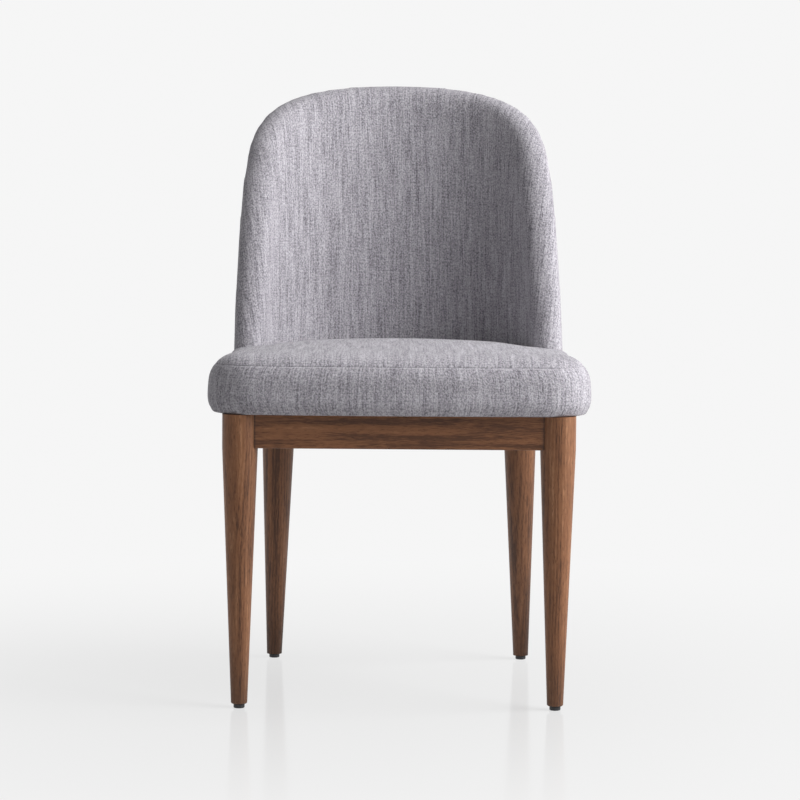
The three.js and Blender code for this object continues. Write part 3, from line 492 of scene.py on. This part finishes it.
def speckled(name, color, roughness, cell, variation, metallic=0):
    """A moulded, rolled or drawn material: slightly uneven in tone and gloss, and faintly pitted."""
    material = Nodes(bpy.data.materials.new(name))
    place = material.node("ShaderNodeTexCoord", output="Object")
    inputs = {"Vector": place, "Scale": 1 / cell, "Detail": 3}
    cells = material.node("ShaderNodeTexNoise", {}, inputs) - 0.5
    shade = [tone * (1 - variation) for tone in color]
    light = [min(1, tone * (1 + variation)) for tone in color]
    material.node("ShaderNodeOutputMaterial", {}, {
        "Surface": material.node("ShaderNodeBsdfPrincipled", {}, {
            "Base Color": material.between(shade, light, cells * 1.5 + 0.5),
            "Roughness": roughness + cells * 0.3,
            "Metallic": metallic,
            "Normal": material.node("ShaderNodeBump", {}, {
                "Height": cells, "Strength": 0.2, "Distance": 0.0003,
            }),
        }),
    })
    return material.owner


nylon = speckled("black_nylon", NYLON_TONE, 0.5, 0.0012, 0.25)
glide_blank = turned("glide_blank", [
    (GLIDE_RADIUS - GLIDE_EDGE, 0),
    (GLIDE_RADIUS - GLIDE_EDGE * 0.3, GLIDE_EDGE * 0.3),
    (GLIDE_RADIUS, GLIDE_EDGE),
    (GLIDE_RADIUS, leg_foot - GLIDE_JOINT - GLIDE_EDGE / 2),
    (GLIDE_RADIUS - GLIDE_EDGE / 2, leg_foot - GLIDE_JOINT),
    (NAIL_RADIUS, leg_foot - GLIDE_JOINT),
    (NAIL_RADIUS, leg_foot + NAIL_LENGTH),
], GLIDE_SIDES)
for end in ("front", "rear"):
    for side in ("right", "left"):
        node = f"foot_glide_{end}_{side}"
        middle = box_middle(node)
        glide = moved_copy(glide_blank, f"nylon_{node}", Matrix.Translation((middle.x, middle.y, 0)))
        finish_with(glide, nylon)
        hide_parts(node)
        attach(glide, "root")
bpy.data.objects.remove(glide_blank)


# Aprons: four walnut boards tenoned into the round legs, with their lower edges eased. They keep
# the shape that the joinery gave them, and take the same walnut with the grain along each board.
# Painted shade: the aprons, under the seat, take a darker tone of the same walnut.
APRON_SHADED_TONE = 0.3
APRON_PATTERN_SHIFT = Vector((0, 0, 0.013))

front_leg_axes = [box_middle("leg_front_right"), box_middle("leg_front_left")]
for number, node in enumerate(("apron_front", "apron_rear", "apron_right", "apron_left")):
    low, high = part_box(node)
    size = high - low
    along = Vector((1, 0, 0)) if size.x > size.y else Vector((0, 1, 0))
    centre = box_middle(node) + APRON_PATTERN_SHIFT * number
    joints = [] if node == "apron_rear" else front_leg_axes
    finish_with(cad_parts[node], walnut(f"walnut_{node}", centre, along, APRON_SHADED_TONE, joints))


# Corner blocks and their fixings: four plain hardwood blocks glued and screwed into the corners,
# with zinc-plated screws, bolts, washers and tee nuts that hold the seat.
BLOCK_TONE = (0.40, 0.27, 0.14)
ZINC_TONE = (0.55, 0.56, 0.57)
block_wood = speckled("block_wood", BLOCK_TONE, 0.75, 0.006, 0.3)
zinc = speckled("zinc_plated_steel", ZINC_TONE, 0.35, 0.0015, 0.15, metallic=1)
for name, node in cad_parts.items():
    if name.startswith("corner_block_"):
        finish_with(node, block_wood)
    elif name.startswith(("seat_bolt_", "bolt_washer_", "tee_nut_", "block_screw_", "shell_screw_")):
        finish_with(node, zinc)


# Seat board and back shell: birch plywood, the board flat and the shell pressed to its curve.
# Both are covered all over by the padding.
PLY_TONE = (0.52, 0.36, 0.2)
plywood = speckled("birch_plywood", PLY_TONE, 0.7, 0.008, 0.2)
for name in ("seat_board", "back_shell"):
    finish_with(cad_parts[name], plywood)


# Back pad: foam on both faces of the bent ply shell and round its edge, under two panels of
# heathered linen-like cloth that meet in one plain seam behind the rim.
BACK_VOXEL = 0.005
BACK_THICKNESS = 0.044
BACK_HALF_LENGTH = 0.294            # half of its lower edge, measured along the bent sheet
BACK_HEIGHT = 0.4307
BACK_TAPER = 0.1707
BACK_TOP_POWER = 12.15
BACK_SIDE_POWER = 2.164
BACK_SIDE_SHARE = 0.8               # part of its height where the sides run nearly straight
BACK_BEND_LENGTH = 0.286            # from its middle to the end of a wing, along the sheet
BACK_BEND_REACH = 1.2               # the bend is worked out this much further
BACK_BEND_ANGLE = math.radians(85)  # turned over that length
BACK_EVEN_SHARE = 0.7               # of the turn is even, and the rest comes towards the wings
BACK_RAKE = math.radians(9)
BACK_MIDDLE_Y = 0.418               # middle of the pad at its foot, behind the front leg axes
BACK_SEAM_ANGLE = math.radians(62)
BACK_FULL = np.array((1.007, 1, 1.0015))    # how much the stuffing fills the back out
BACK_SHIFT = -0.0015                # the stuffed back stands a little to its left
BACK_LEAN = -0.011                  # and leans there, sideways over upwards
BACK_STATIONS = 600
SHELL_COVER = 0.00015               # how far the cloth lies under the foot of the shell
BACK_ROUND_BELOW, BACK_FLAT_ABOVE = 0.25, 0.65      # how squarely the foot faces down
POINTS_AT_ONCE = 4000
TINY = 1e-6
PAD_PRESSURE = 4
PAD_CAP = 0.0016                    # furthest that the stuffing may push a point
PAD_SLACK = 0.0007                  # the shape is this much smaller before it is stuffed
SWELL_FRAMES = 20
SMOOTH_ROUNDS = 24
SMOOTH_IN, SMOOTH_OUT = 0.5, 0.53
SEAM_DENT = 0.0004
SEAM_DENT_WIDTH = 0.003
SEAM_CREASE_WIDTH = 0.0014
# Painted shade in the seam's crease and a painted highlight on its lower lip, where and how strong.
SEAM_LIP_OFFSET, SEAM_LIP_WIDTH = 0.0018, 0.0014    # the lower lip, which catches the light
SEAM_CREASE_PAINTED_SHADE, SEAM_LIP_PAINTED_HIGHLIGHT = 0.25, 0.28
REAR_PANEL_AT = 3                   # on the cloth's map, so that the panels have other threads
CLOTH_LIGHT = (0.52, 0.50, 0.54)
CLOTH_DARK = (0.135, 0.127, 0.146)
SLUB_CELL = (0.0022, 0.045)         # size of the unevenness of the yarn: across and along the warp
BROAD_CELL = (0.009, 0.11)
WEFT_CELL = (0.022, 0.0016)
SPECKLE_CELL = (0.0022, 0.0026)
WEAVE_PITCH = 0.0012
SLUB_SHARE, BROAD_SHARE, WEFT_SHARE, SPECKLE_SHARE, WEAVE_SHARE = 1.2, 0.5, 0.45, 1.6, 0.1
SPECKLE_RISE, WEAVE_RISE, CREASE_FALL = 2.8, 0.4, 2     # beside the slubs' rise of 1
THREAD_DEPTH = 0.0004


def coordinates(mesh):
    """A mesh's points as an array of rows."""
    flat = np.empty(len(mesh.vertices) * 3)
    mesh.vertices.foreach_get("co", flat)
    return flat.reshape(-1, 3)


def set_coordinates(mesh, points):
    mesh.vertices.foreach_set("co", points.ravel())
    mesh.update()


def normals(mesh):
    """The direction out of the surface at each point."""
    flat = np.empty(len(mesh.vertices) * 3)
    mesh.vertex_normals.foreach_get("vector", flat)
    return flat.reshape(-1, 3)


def apply_modifier(piece, kind, **settings):
    """Adds a modifier and applies it."""
    take_up(piece)
    modifier = piece.modifiers.new(kind.lower(), kind)
    for key, value in settings.items():
        setattr(modifier, key, value)
    bpy.ops.object.modifier_apply(modifier=modifier.name)


def even_out(mesh):
    """Takes the ripples out of a skin. Each round goes in and back out, so that nothing shrinks."""
    ends = np.empty(2 * len(mesh.edges), np.int32)
    mesh.edges.foreach_get("vertices", ends)
    here, there = ends, ends.reshape(-1, 2)[:, ::-1].ravel()
    neighbours = np.bincount(here, minlength=len(mesh.vertices))[:, None]
    points = coordinates(mesh)
    for _ in range(SMOOTH_ROUNDS):
        for share in (SMOOTH_IN, -SMOOTH_OUT):
            sums = [np.bincount(here, points[there, axis], len(points)) for axis in range(3)]
            points += share * (np.stack(sums, 1) / neighbours - points)
    set_coordinates(mesh, points)


def pad_blank(name, nodes, voxel):
    """One skin round the padding, made from copies of the solids it stands for."""
    copies = []
    for node in nodes:
        copy = bpy.data.objects.new(name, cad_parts[node].data.copy())
        scene.collection.objects.link(copy)
        copies.append(copy)
    take_up(*copies)
    bpy.ops.object.join()
    blank = bpy.context.object
    blank.name = name
    bpy.ops.object.mode_set(mode="EDIT")
    bpy.ops.mesh.select_all(action="SELECT")
    bpy.ops.mesh.remove_doubles(threshold=SAME_POINT)
    bpy.ops.object.mode_set(mode="OBJECT")
    apply_modifier(blank, "REMESH", mode="VOXEL", voxel_size=voxel)
    even_out(blank.data)
    return blank


def resting_share(pad, foot_z, reach, round_below, flat_above):
    """How flat each point of a pad lies on the frame: 0 where it is round, and 1 where it is flat."""
    facing_down = -normals(pad.data)[:, 2] * (coordinates(pad.data)[:, 2] < foot_z + reach)
    return np.clip((facing_down - round_below) / (flat_above - round_below), 0, 1)


def stuffed(pad, held):
    """Swells the pad from a slightly slack shape, except where it is held, and caps the swelling."""
    mesh = pad.data
    out_of_pad = normals(mesh)
    slack = coordinates(mesh) - out_of_pad * PAD_SLACK * (1 - held[:, None])
    set_coordinates(mesh, slack)
    group = pad.vertex_groups.new(name="held")
    group.add([int(k) for k in np.flatnonzero(held > 0.5)], 1, "REPLACE")
    take_up(pad)
    bpy.ops.object.modifier_add(type="CLOTH")
    cloth = pad.modifiers[-1]
    cloth.settings.use_pressure = True
    cloth.settings.uniform_pressure_force = PAD_PRESSURE
    cloth.settings.vertex_group_mass = "held"
    cloth.settings.effector_weights.gravity = 0
    cloth.point_cache.frame_end = SWELL_FRAMES
    for step in range(1, SWELL_FRAMES + 1):
        scene.frame_set(step)
    bpy.ops.object.modifier_apply(modifier=cloth.name)
    moved = coordinates(pad.data) - slack
    moved -= out_of_pad * np.minimum(0, np.sum(moved * out_of_pad, axis=1, keepdims=True))
    reach = np.linalg.norm(moved, axis=1, keepdims=True)
    set_coordinates(pad.data, slack + moved * np.minimum(1, PAD_CAP / np.maximum(reach, TINY)))
    even_out(pad.data)
    scene.frame_set(1)


def seam_marked(pad, distance):
    """Dents the pad along a seam and keeps each point's distance from it for the cloth's finish."""
    mesh = pad.data
    dent = SEAM_DENT * np.exp(-((distance / SEAM_DENT_WIDTH) ** 2))
    set_coordinates(mesh, coordinates(mesh) - normals(mesh) * dent[:, None])
    attribute = mesh.attributes.new("seam", "FLOAT", "POINT")
    attribute.data.foreach_set("value", distance.astype(np.float32))


def lay_cloth(pad, panels, panel_of_face):
    """Writes the cloth's own map, in metres: each face takes its points' places on its panel."""
    mesh = pad.data
    corners = np.empty(len(mesh.loops), np.int32)
    mesh.loops.foreach_get("vertex_index", corners)
    counts = np.empty(len(mesh.polygons), np.int32)
    mesh.polygons.foreach_get("loop_total", counts)
    panel_of_corner = np.repeat(panel_of_face, counts)
    places = np.stack(panels)[panel_of_corner, corners]
    cloth_map = mesh.uv_layers.new(name="cloth")
    cloth_map.data.foreach_set("uv", places.astype(np.float32).ravel())
    mesh.polygons.foreach_set("use_smooth", np.ones(len(mesh.polygons), bool))


def face_means(mesh, values):
    """A value of each face: the mean over its points."""
    corners = np.empty(len(mesh.loops), np.int32)
    mesh.loops.foreach_get("vertex_index", corners)
    starts = np.empty(len(mesh.polygons), np.int32)
    mesh.polygons.foreach_get("loop_start", starts)
    counts = np.empty(len(mesh.polygons), np.int32)
    mesh.polygons.foreach_get("loop_total", counts)
    return np.add.reduceat(values[corners], starts) / counts


station = np.linspace(0, BACK_BEND_LENGTH * BACK_BEND_REACH, BACK_STATIONS)
bend_share = station / BACK_BEND_LENGTH
heading = BACK_BEND_ANGLE * (BACK_EVEN_SHARE * bend_share + (1 - BACK_EVEN_SHARE) * bend_share**3)
station_step = station[1]
middle_heading = (heading[1:] + heading[:-1]) / 2
bend_x = np.concatenate([[0], np.cumsum(np.cos(middle_heading))]) * station_step
bend_y = -np.concatenate([[0], np.cumsum(np.sin(middle_heading))]) * station_step
back_foot_y = front_leg_y + BACK_MIDDLE_Y
back_foot_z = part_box("back_front_cover")[0].z


def back_places(points):
    """Where points lie on the bent sheet: along it, up the rake, and out from its middle."""
    up_rake = (points[:, 2] - back_foot_z) / math.cos(BACK_RAKE)
    x = np.abs(points[:, 0])
    y = points[:, 1] - back_foot_y - up_rake * math.sin(BACK_RAKE)
    along = np.empty(len(points))
    out = np.empty(len(points))
    for part in np.array_split(np.arange(len(points)), 1 + len(points) // POINTS_AT_ONCE):
        gaps = (x[part, None] - bend_x) ** 2 + (y[part, None] - bend_y) ** 2
        nearest = gaps.argmin(axis=1)
        turn = heading[nearest]
        dx, dy = x[part] - bend_x[nearest], y[part] - bend_y[nearest]
        along[part] = station[nearest] + dx * np.cos(turn) - dy * np.sin(turn)
        out[part] = dx * np.sin(turn) + dy * np.cos(turn)
    return along * np.sign(points[:, 0]), up_rake, out


# The back's outline on the flat sheet: evenly spaced up its sides, then evenly turned over the top
top_turn = np.linspace(math.asin(BACK_SIDE_SHARE ** (BACK_TOP_POWER / 2)), math.pi / 2, BACK_STATIONS)
outline_height = BACK_HEIGHT * np.concatenate([
    np.linspace(0, BACK_SIDE_SHARE, BACK_STATIONS, endpoint=False),
    np.sin(top_turn) ** (2 / BACK_TOP_POWER),
])
outline_half = (BACK_HALF_LENGTH - BACK_TAPER * outline_height) * (
    np.maximum(0, 1 - (outline_height / BACK_HEIGHT) ** BACK_TOP_POWER) ** (1 / BACK_SIDE_POWER)
)
outline_run = np.stack([np.gradient(outline_half), np.gradient(outline_height)], 1)
outline_run /= np.linalg.norm(outline_run, axis=1, keepdims=True)


def rim_places(along, up_rake, out):
    """For points on the round rim: the nearest point of its middle line, and the turn round it."""
    half = np.abs(along)
    near_along = np.empty(len(half))
    near_up = np.empty(len(half))
    for part in np.array_split(np.arange(len(half)), 1 + len(half) // POINTS_AT_ONCE):
        gaps = (half[part, None] - outline_half) ** 2 + (up_rake[part, None] - outline_height) ** 2
        nearest = gaps.argmin(axis=1)
        run = outline_run[nearest]
        past = (half[part] - outline_half[nearest]) * run[:, 0]
        past += (up_rake[part] - outline_height[nearest]) * run[:, 1]
        near_along[part] = outline_half[nearest] + past * run[:, 0]
        near_up[part] = outline_height[nearest] + past * run[:, 1]
    outward = np.hypot(half - near_along, up_rake - near_up)
    inside_half = np.interp(up_rake, outline_height, outline_half, right=0)
    outside = half > inside_half
    outward = np.where(outside, outward, 0)
    turn = np.arctan2(out, outward)
    return outside, near_along * np.sign(along), near_up, outward, turn


def heathered(name):
    """Heathered linen-like cloth: long slubs with the warp, short ones across, and a fine weave."""
    cloth = Nodes(bpy.data.materials.new(name))
    threads = cloth.node("ShaderNodeUVMap", {"uv_map": "cloth"})

    def yarn(cell, detail, seed):
        inputs = {"Vector": threads, "Location": (0, 0, seed), "Scale": (*cell, 1)}
        place = cloth.node("ShaderNodeMapping", {"vector_type": "TEXTURE"}, inputs)
        inputs = {"Vector": place, "Scale": 1, "Detail": detail, "Roughness": 0.6}
        return cloth.node("ShaderNodeTexNoise", {}, inputs) - 0.5

    def ribs(direction):
        inputs = {"Vector": threads, "Scale": wave_scale(WEAVE_PITCH)}
        settings = {"wave_type": "BANDS", "bands_direction": direction}
        return cloth.node("ShaderNodeTexWave", settings, inputs, "Fac") - 0.5

    slub = yarn(SLUB_CELL, 2, 1.3)
    broad = yarn(BROAD_CELL, 1, 4.7)
    weft = yarn(WEFT_CELL, 1, 7.9)
    speckle = yarn(SPECKLE_CELL, 1, 2.2)
    weave = ribs("X") * ribs("Y") * 4
    from_seam = cloth.node("ShaderNodeAttribute", {"attribute_name": "seam"}, {}, "Fac")
    crease = cloth.ramp(1 - (from_seam / SEAM_CREASE_WIDTH).size(), 0, 1)
    lip_highlight = cloth.ramp(1 - ((from_seam + SEAM_LIP_OFFSET) / SEAM_LIP_WIDTH).size(), 0, 1)
    shade = 0.5 + slub * SLUB_SHARE + broad * BROAD_SHARE + weft * WEFT_SHARE
    shade = shade + speckle * SPECKLE_SHARE + weave * WEAVE_SHARE
    shade = cloth.node("ShaderNodeClamp", {}, {"Value": shade})
    cloth_color = cloth.between(CLOTH_DARK, CLOTH_LIGHT, shade)
    # Painted shade in the seam's crease, and a painted highlight on the lip below it.
    crease_shade_color = [tone / 2 for tone in CLOTH_DARK]
    cloth_color = cloth.between(cloth_color, crease_shade_color, crease * SEAM_CREASE_PAINTED_SHADE)
    cloth_color = cloth.between(cloth_color, CLOTH_LIGHT, lip_highlight * SEAM_LIP_PAINTED_HIGHLIGHT)
    relief = weave * WEAVE_RISE + speckle * SPECKLE_RISE + slub - crease * CREASE_FALL
    surface = cloth.node("ShaderNodeBump", {}, {
        "Height": relief, "Strength": 0.6, "Distance": THREAD_DEPTH,
    })
    cloth.node("ShaderNodeOutputMaterial", {}, {
        "Surface": cloth.node("ShaderNodeBsdfPrincipled", {}, {
            "Base Color": cloth_color, "Roughness": 0.9, "Normal": surface,
            "Specular IOR Level": 0.25, "Sheen Weight": 0.12, "Sheen Roughness": 0.5,
        }),
    })
    return cloth.owner


back_nodes = ("back_front_cover", "back_rear_cover", "back_front_foam", "back_rear_foam")
back_pad = pad_blank("back_pad", (*back_nodes, "back_shell"), BACK_VOXEL)
back_points = coordinates(back_pad.data)
stuffed(back_pad, (back_points[:, 2] < back_foot_z + BACK_VOXEL).astype(float))
apply_modifier(back_pad, "SUBSURF", levels=1, render_levels=1)
back_points = coordinates(back_pad.data)
flat_share = resting_share(back_pad, back_foot_z, BACK_VOXEL, BACK_ROUND_BELOW, BACK_FLAT_ABOVE)
height = np.maximum(back_points[:, 2] - back_foot_z, 0)
back_points[:, 2] = back_foot_z + height * (1 - flat_share) - SHELL_COVER * flat_share
set_coordinates(back_pad.data, back_points)
along, up_rake, out = back_places(back_points)
on_rim, rim_along, rim_up, outward, turn = rim_places(along, up_rake, out)
rim_radius = BACK_THICKNESS / 2
seam_distance = np.where(on_rim, (turn - BACK_SEAM_ANGLE) * rim_radius, rim_radius)
seam_distance = np.where(on_rim | (out > 0), seam_distance, -rim_radius)
seam_marked(back_pad, seam_distance)

rim_away = np.maximum(outward, TINY)
away_along, away_up = (along - rim_along) / rim_away, (up_rake - rim_up) / rim_away
front_unroll = np.where(on_rim, (turn + math.pi / 2) * rim_radius, 0)
rear_unroll = np.where(on_rim, (math.pi / 2 - turn) * rim_radius, 0)
base_along, base_up = np.where(on_rim, rim_along, along), np.where(on_rim, rim_up, up_rake)
front_panel = np.stack([base_along + away_along * front_unroll, base_up + away_up * front_unroll], 1)
rear_along = REAR_PANEL_AT - base_along - away_along * rear_unroll
rear_panel = np.stack([rear_along, base_up + away_up * rear_unroll], 1)
behind_seam = face_means(back_pad.data, seam_distance) > 0
lay_cloth(back_pad, [front_panel, rear_panel], behind_seam.astype(int))
back_foot = np.array((0, back_foot_y, back_foot_z))
back_points = (coordinates(back_pad.data) - back_foot) * BACK_FULL + back_foot
back_points[:, 0] += BACK_SHIFT + BACK_LEAN * (back_points[:, 2] - back_foot_z)
set_coordinates(back_pad.data, back_points)
finish_with(back_pad, heathered("back_cloth"))
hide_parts(*back_nodes)
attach(back_pad, "root")


# Seat cushion: foam on the ply board, rounded over on all sides, in a cover of the same cloth
# whose top panel and side band meet in a plain seam, pulled under the board and stapled.
SEAT_VOXEL = 0.005
SEAT_SEAM_HEIGHT = 0.4613
SEAT_GIRTH_HEIGHT = 0.43
SEAT_TOP_HEIGHT = 0.482
SEAT_DROOP = 0.01                   # the sides sink this much beside the wings of the back
DROOP_NEAR, DROOP_FAR = 0.13, 0.25  # from the middle, where it starts and where it is whole
SEAT_TUCK = 0.0017                  # how much higher the skin lies over the dust cover
SEAT_ROUND_BELOW, SEAT_FLAT_ABOVE = 0.6, 0.95       # how squarely the underside faces down
LEAST_STEEPNESS = 0.05
GIRTH_STEPS = 361
BAND_PANEL_AT, TOP_PANEL_AT = 3, 7  # on the cloth's map

seat_nodes = ("seat_foam", "seat_top_panel", "seat_side_band", "seat_rear_strip")
seat_pad = pad_blank("seat_cushion", (*seat_nodes, "seat_board"), SEAT_VOXEL)
seat_foot_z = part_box("seat_side_band")[0].z
wing_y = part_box("back_front_cover")[0].y
seat_points = coordinates(seat_pad.data)
stuffed(seat_pad, (seat_points[:, 2] < seat_foot_z + SEAT_VOXEL).astype(float))
apply_modifier(seat_pad, "SUBSURF", levels=1, render_levels=1)
seat_points = coordinates(seat_pad.data)
dust_low, dust_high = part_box("dust_cover")
flat_share = resting_share(seat_pad, seat_foot_z, SEAT_VOXEL, SEAT_ROUND_BELOW, SEAT_FLAT_ABOVE)
under = flat_share > 0.5
in_plan = seat_points[:, :2]
in_dust = (in_plan > np.array(dust_low)[:2]) & (in_plan < np.array(dust_high)[:2])
over_dust = under & np.all(in_dust, axis=1)
height = np.maximum(seat_points[:, 2] - seat_foot_z, 0)
seat_points[:, 2] = seat_foot_z + height * (1 - flat_share)
seat_points[:, 2] = np.where(over_dust, seat_foot_z + SEAT_TUCK, seat_points[:, 2])
set_coordinates(seat_pad.data, seat_points)

steepness = np.sqrt(np.maximum(LEAST_STEEPNESS, 1 - normals(seat_pad.data)[:, 2] ** 2))
seam_height = (seat_points[:, 2] - SEAT_SEAM_HEIGHT) / steepness
seam_marked(seat_pad, seam_height)
seat_middle = box_middle("seat_top_panel")
angle = np.arctan2(seat_points[:, 0] - seat_middle.x, seat_middle.y - seat_points[:, 1])
girth = np.abs(seat_points[:, 2] - SEAT_GIRTH_HEIGHT) < SEAT_VOXEL / 4
order = np.argsort(angle[girth])
girth_angle = angle[girth][order]
bins = np.linspace(-math.pi, math.pi, GIRTH_STEPS)
radius = np.interp(bins, girth_angle, np.hypot(
    seat_points[girth, 0] - seat_middle.x, seat_points[girth, 1] - seat_middle.y,
)[order])
loop = np.stack([np.sin(bins) * radius, np.cos(bins) * radius], 1)
lengths = np.concatenate([[0], np.cumsum(np.linalg.norm(np.diff(loop, axis=0), axis=1))])
band_panel = np.stack([BAND_PANEL_AT + np.interp(angle, bins, lengths), seat_points[:, 2]], 1)
top_panel = seat_points[:, :2] + TOP_PANEL_AT
on_top = face_means(seat_pad.data, seam_height) > 0
on_tuck = face_means(seat_pad.data, under.astype(float)) > 0.5
lay_cloth(seat_pad, [band_panel, top_panel], (on_top | on_tuck).astype(int))
seat_points = coordinates(seat_pad.data)
sideways = np.clip((np.abs(seat_points[:, 0]) - DROOP_NEAR) / (DROOP_FAR - DROOP_NEAR), 0, 1)
backwards = np.clip((seat_points[:, 1] - front_leg_y) / (wing_y - front_leg_y), 0, 1)
above_girth = seat_points[:, 2] - SEAT_GIRTH_HEIGHT
upwards = np.clip(above_girth / (SEAT_TOP_HEIGHT - SEAT_GIRTH_HEIGHT), 0, 1)
seat_points[:, 2] -= SEAT_DROOP * sideways**2 * backwards**2 * upwards
set_coordinates(seat_pad.data, seat_points)
finish_with(seat_pad, heathered("seat_cloth"))
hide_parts(*seat_nodes)
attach(seat_pad, "root")


# Dust cover: a thin black non-woven cloth stretched over the underside of the board and stapled
# along its edge over the tucked cloth.
DUST_THICKNESS = 0.0008
FACES_UP = -0.5                     # every face but the lower one points further up than this
LINING_TONE = (0.014, 0.014, 0.015)
dust_cloth = bpy.data.objects.new("dust_cloth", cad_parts["dust_cover"].data.copy())
scene.collection.objects.link(dust_cloth)
take_up(dust_cloth)
bpy.ops.object.mode_set(mode="EDIT")
bpy.ops.mesh.select_all(action="SELECT")
bpy.ops.mesh.remove_doubles(threshold=SAME_POINT)
bpy.ops.mesh.select_mode(type="FACE")
bpy.ops.mesh.select_all(action="DESELECT")
bpy.ops.object.mode_set(mode="OBJECT")
for face in dust_cloth.data.polygons:
    face.select = face.normal.z > FACES_UP
bpy.ops.object.mode_set(mode="EDIT")
bpy.ops.mesh.delete(type="FACE")
bpy.ops.mesh.select_all(action="SELECT")
bpy.ops.mesh.dissolve_limited(angle_limit=math.radians(1))
bpy.ops.object.mode_set(mode="OBJECT")
thickness = dust_cloth.modifiers.new("thickness", "SOLIDIFY")
thickness.thickness = DUST_THICKNESS
finish_with(dust_cloth, speckled("black_lining", LINING_TONE, 0.95, 0.0008, 0.5))
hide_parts("dust_cover")
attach(dust_cloth, "root")
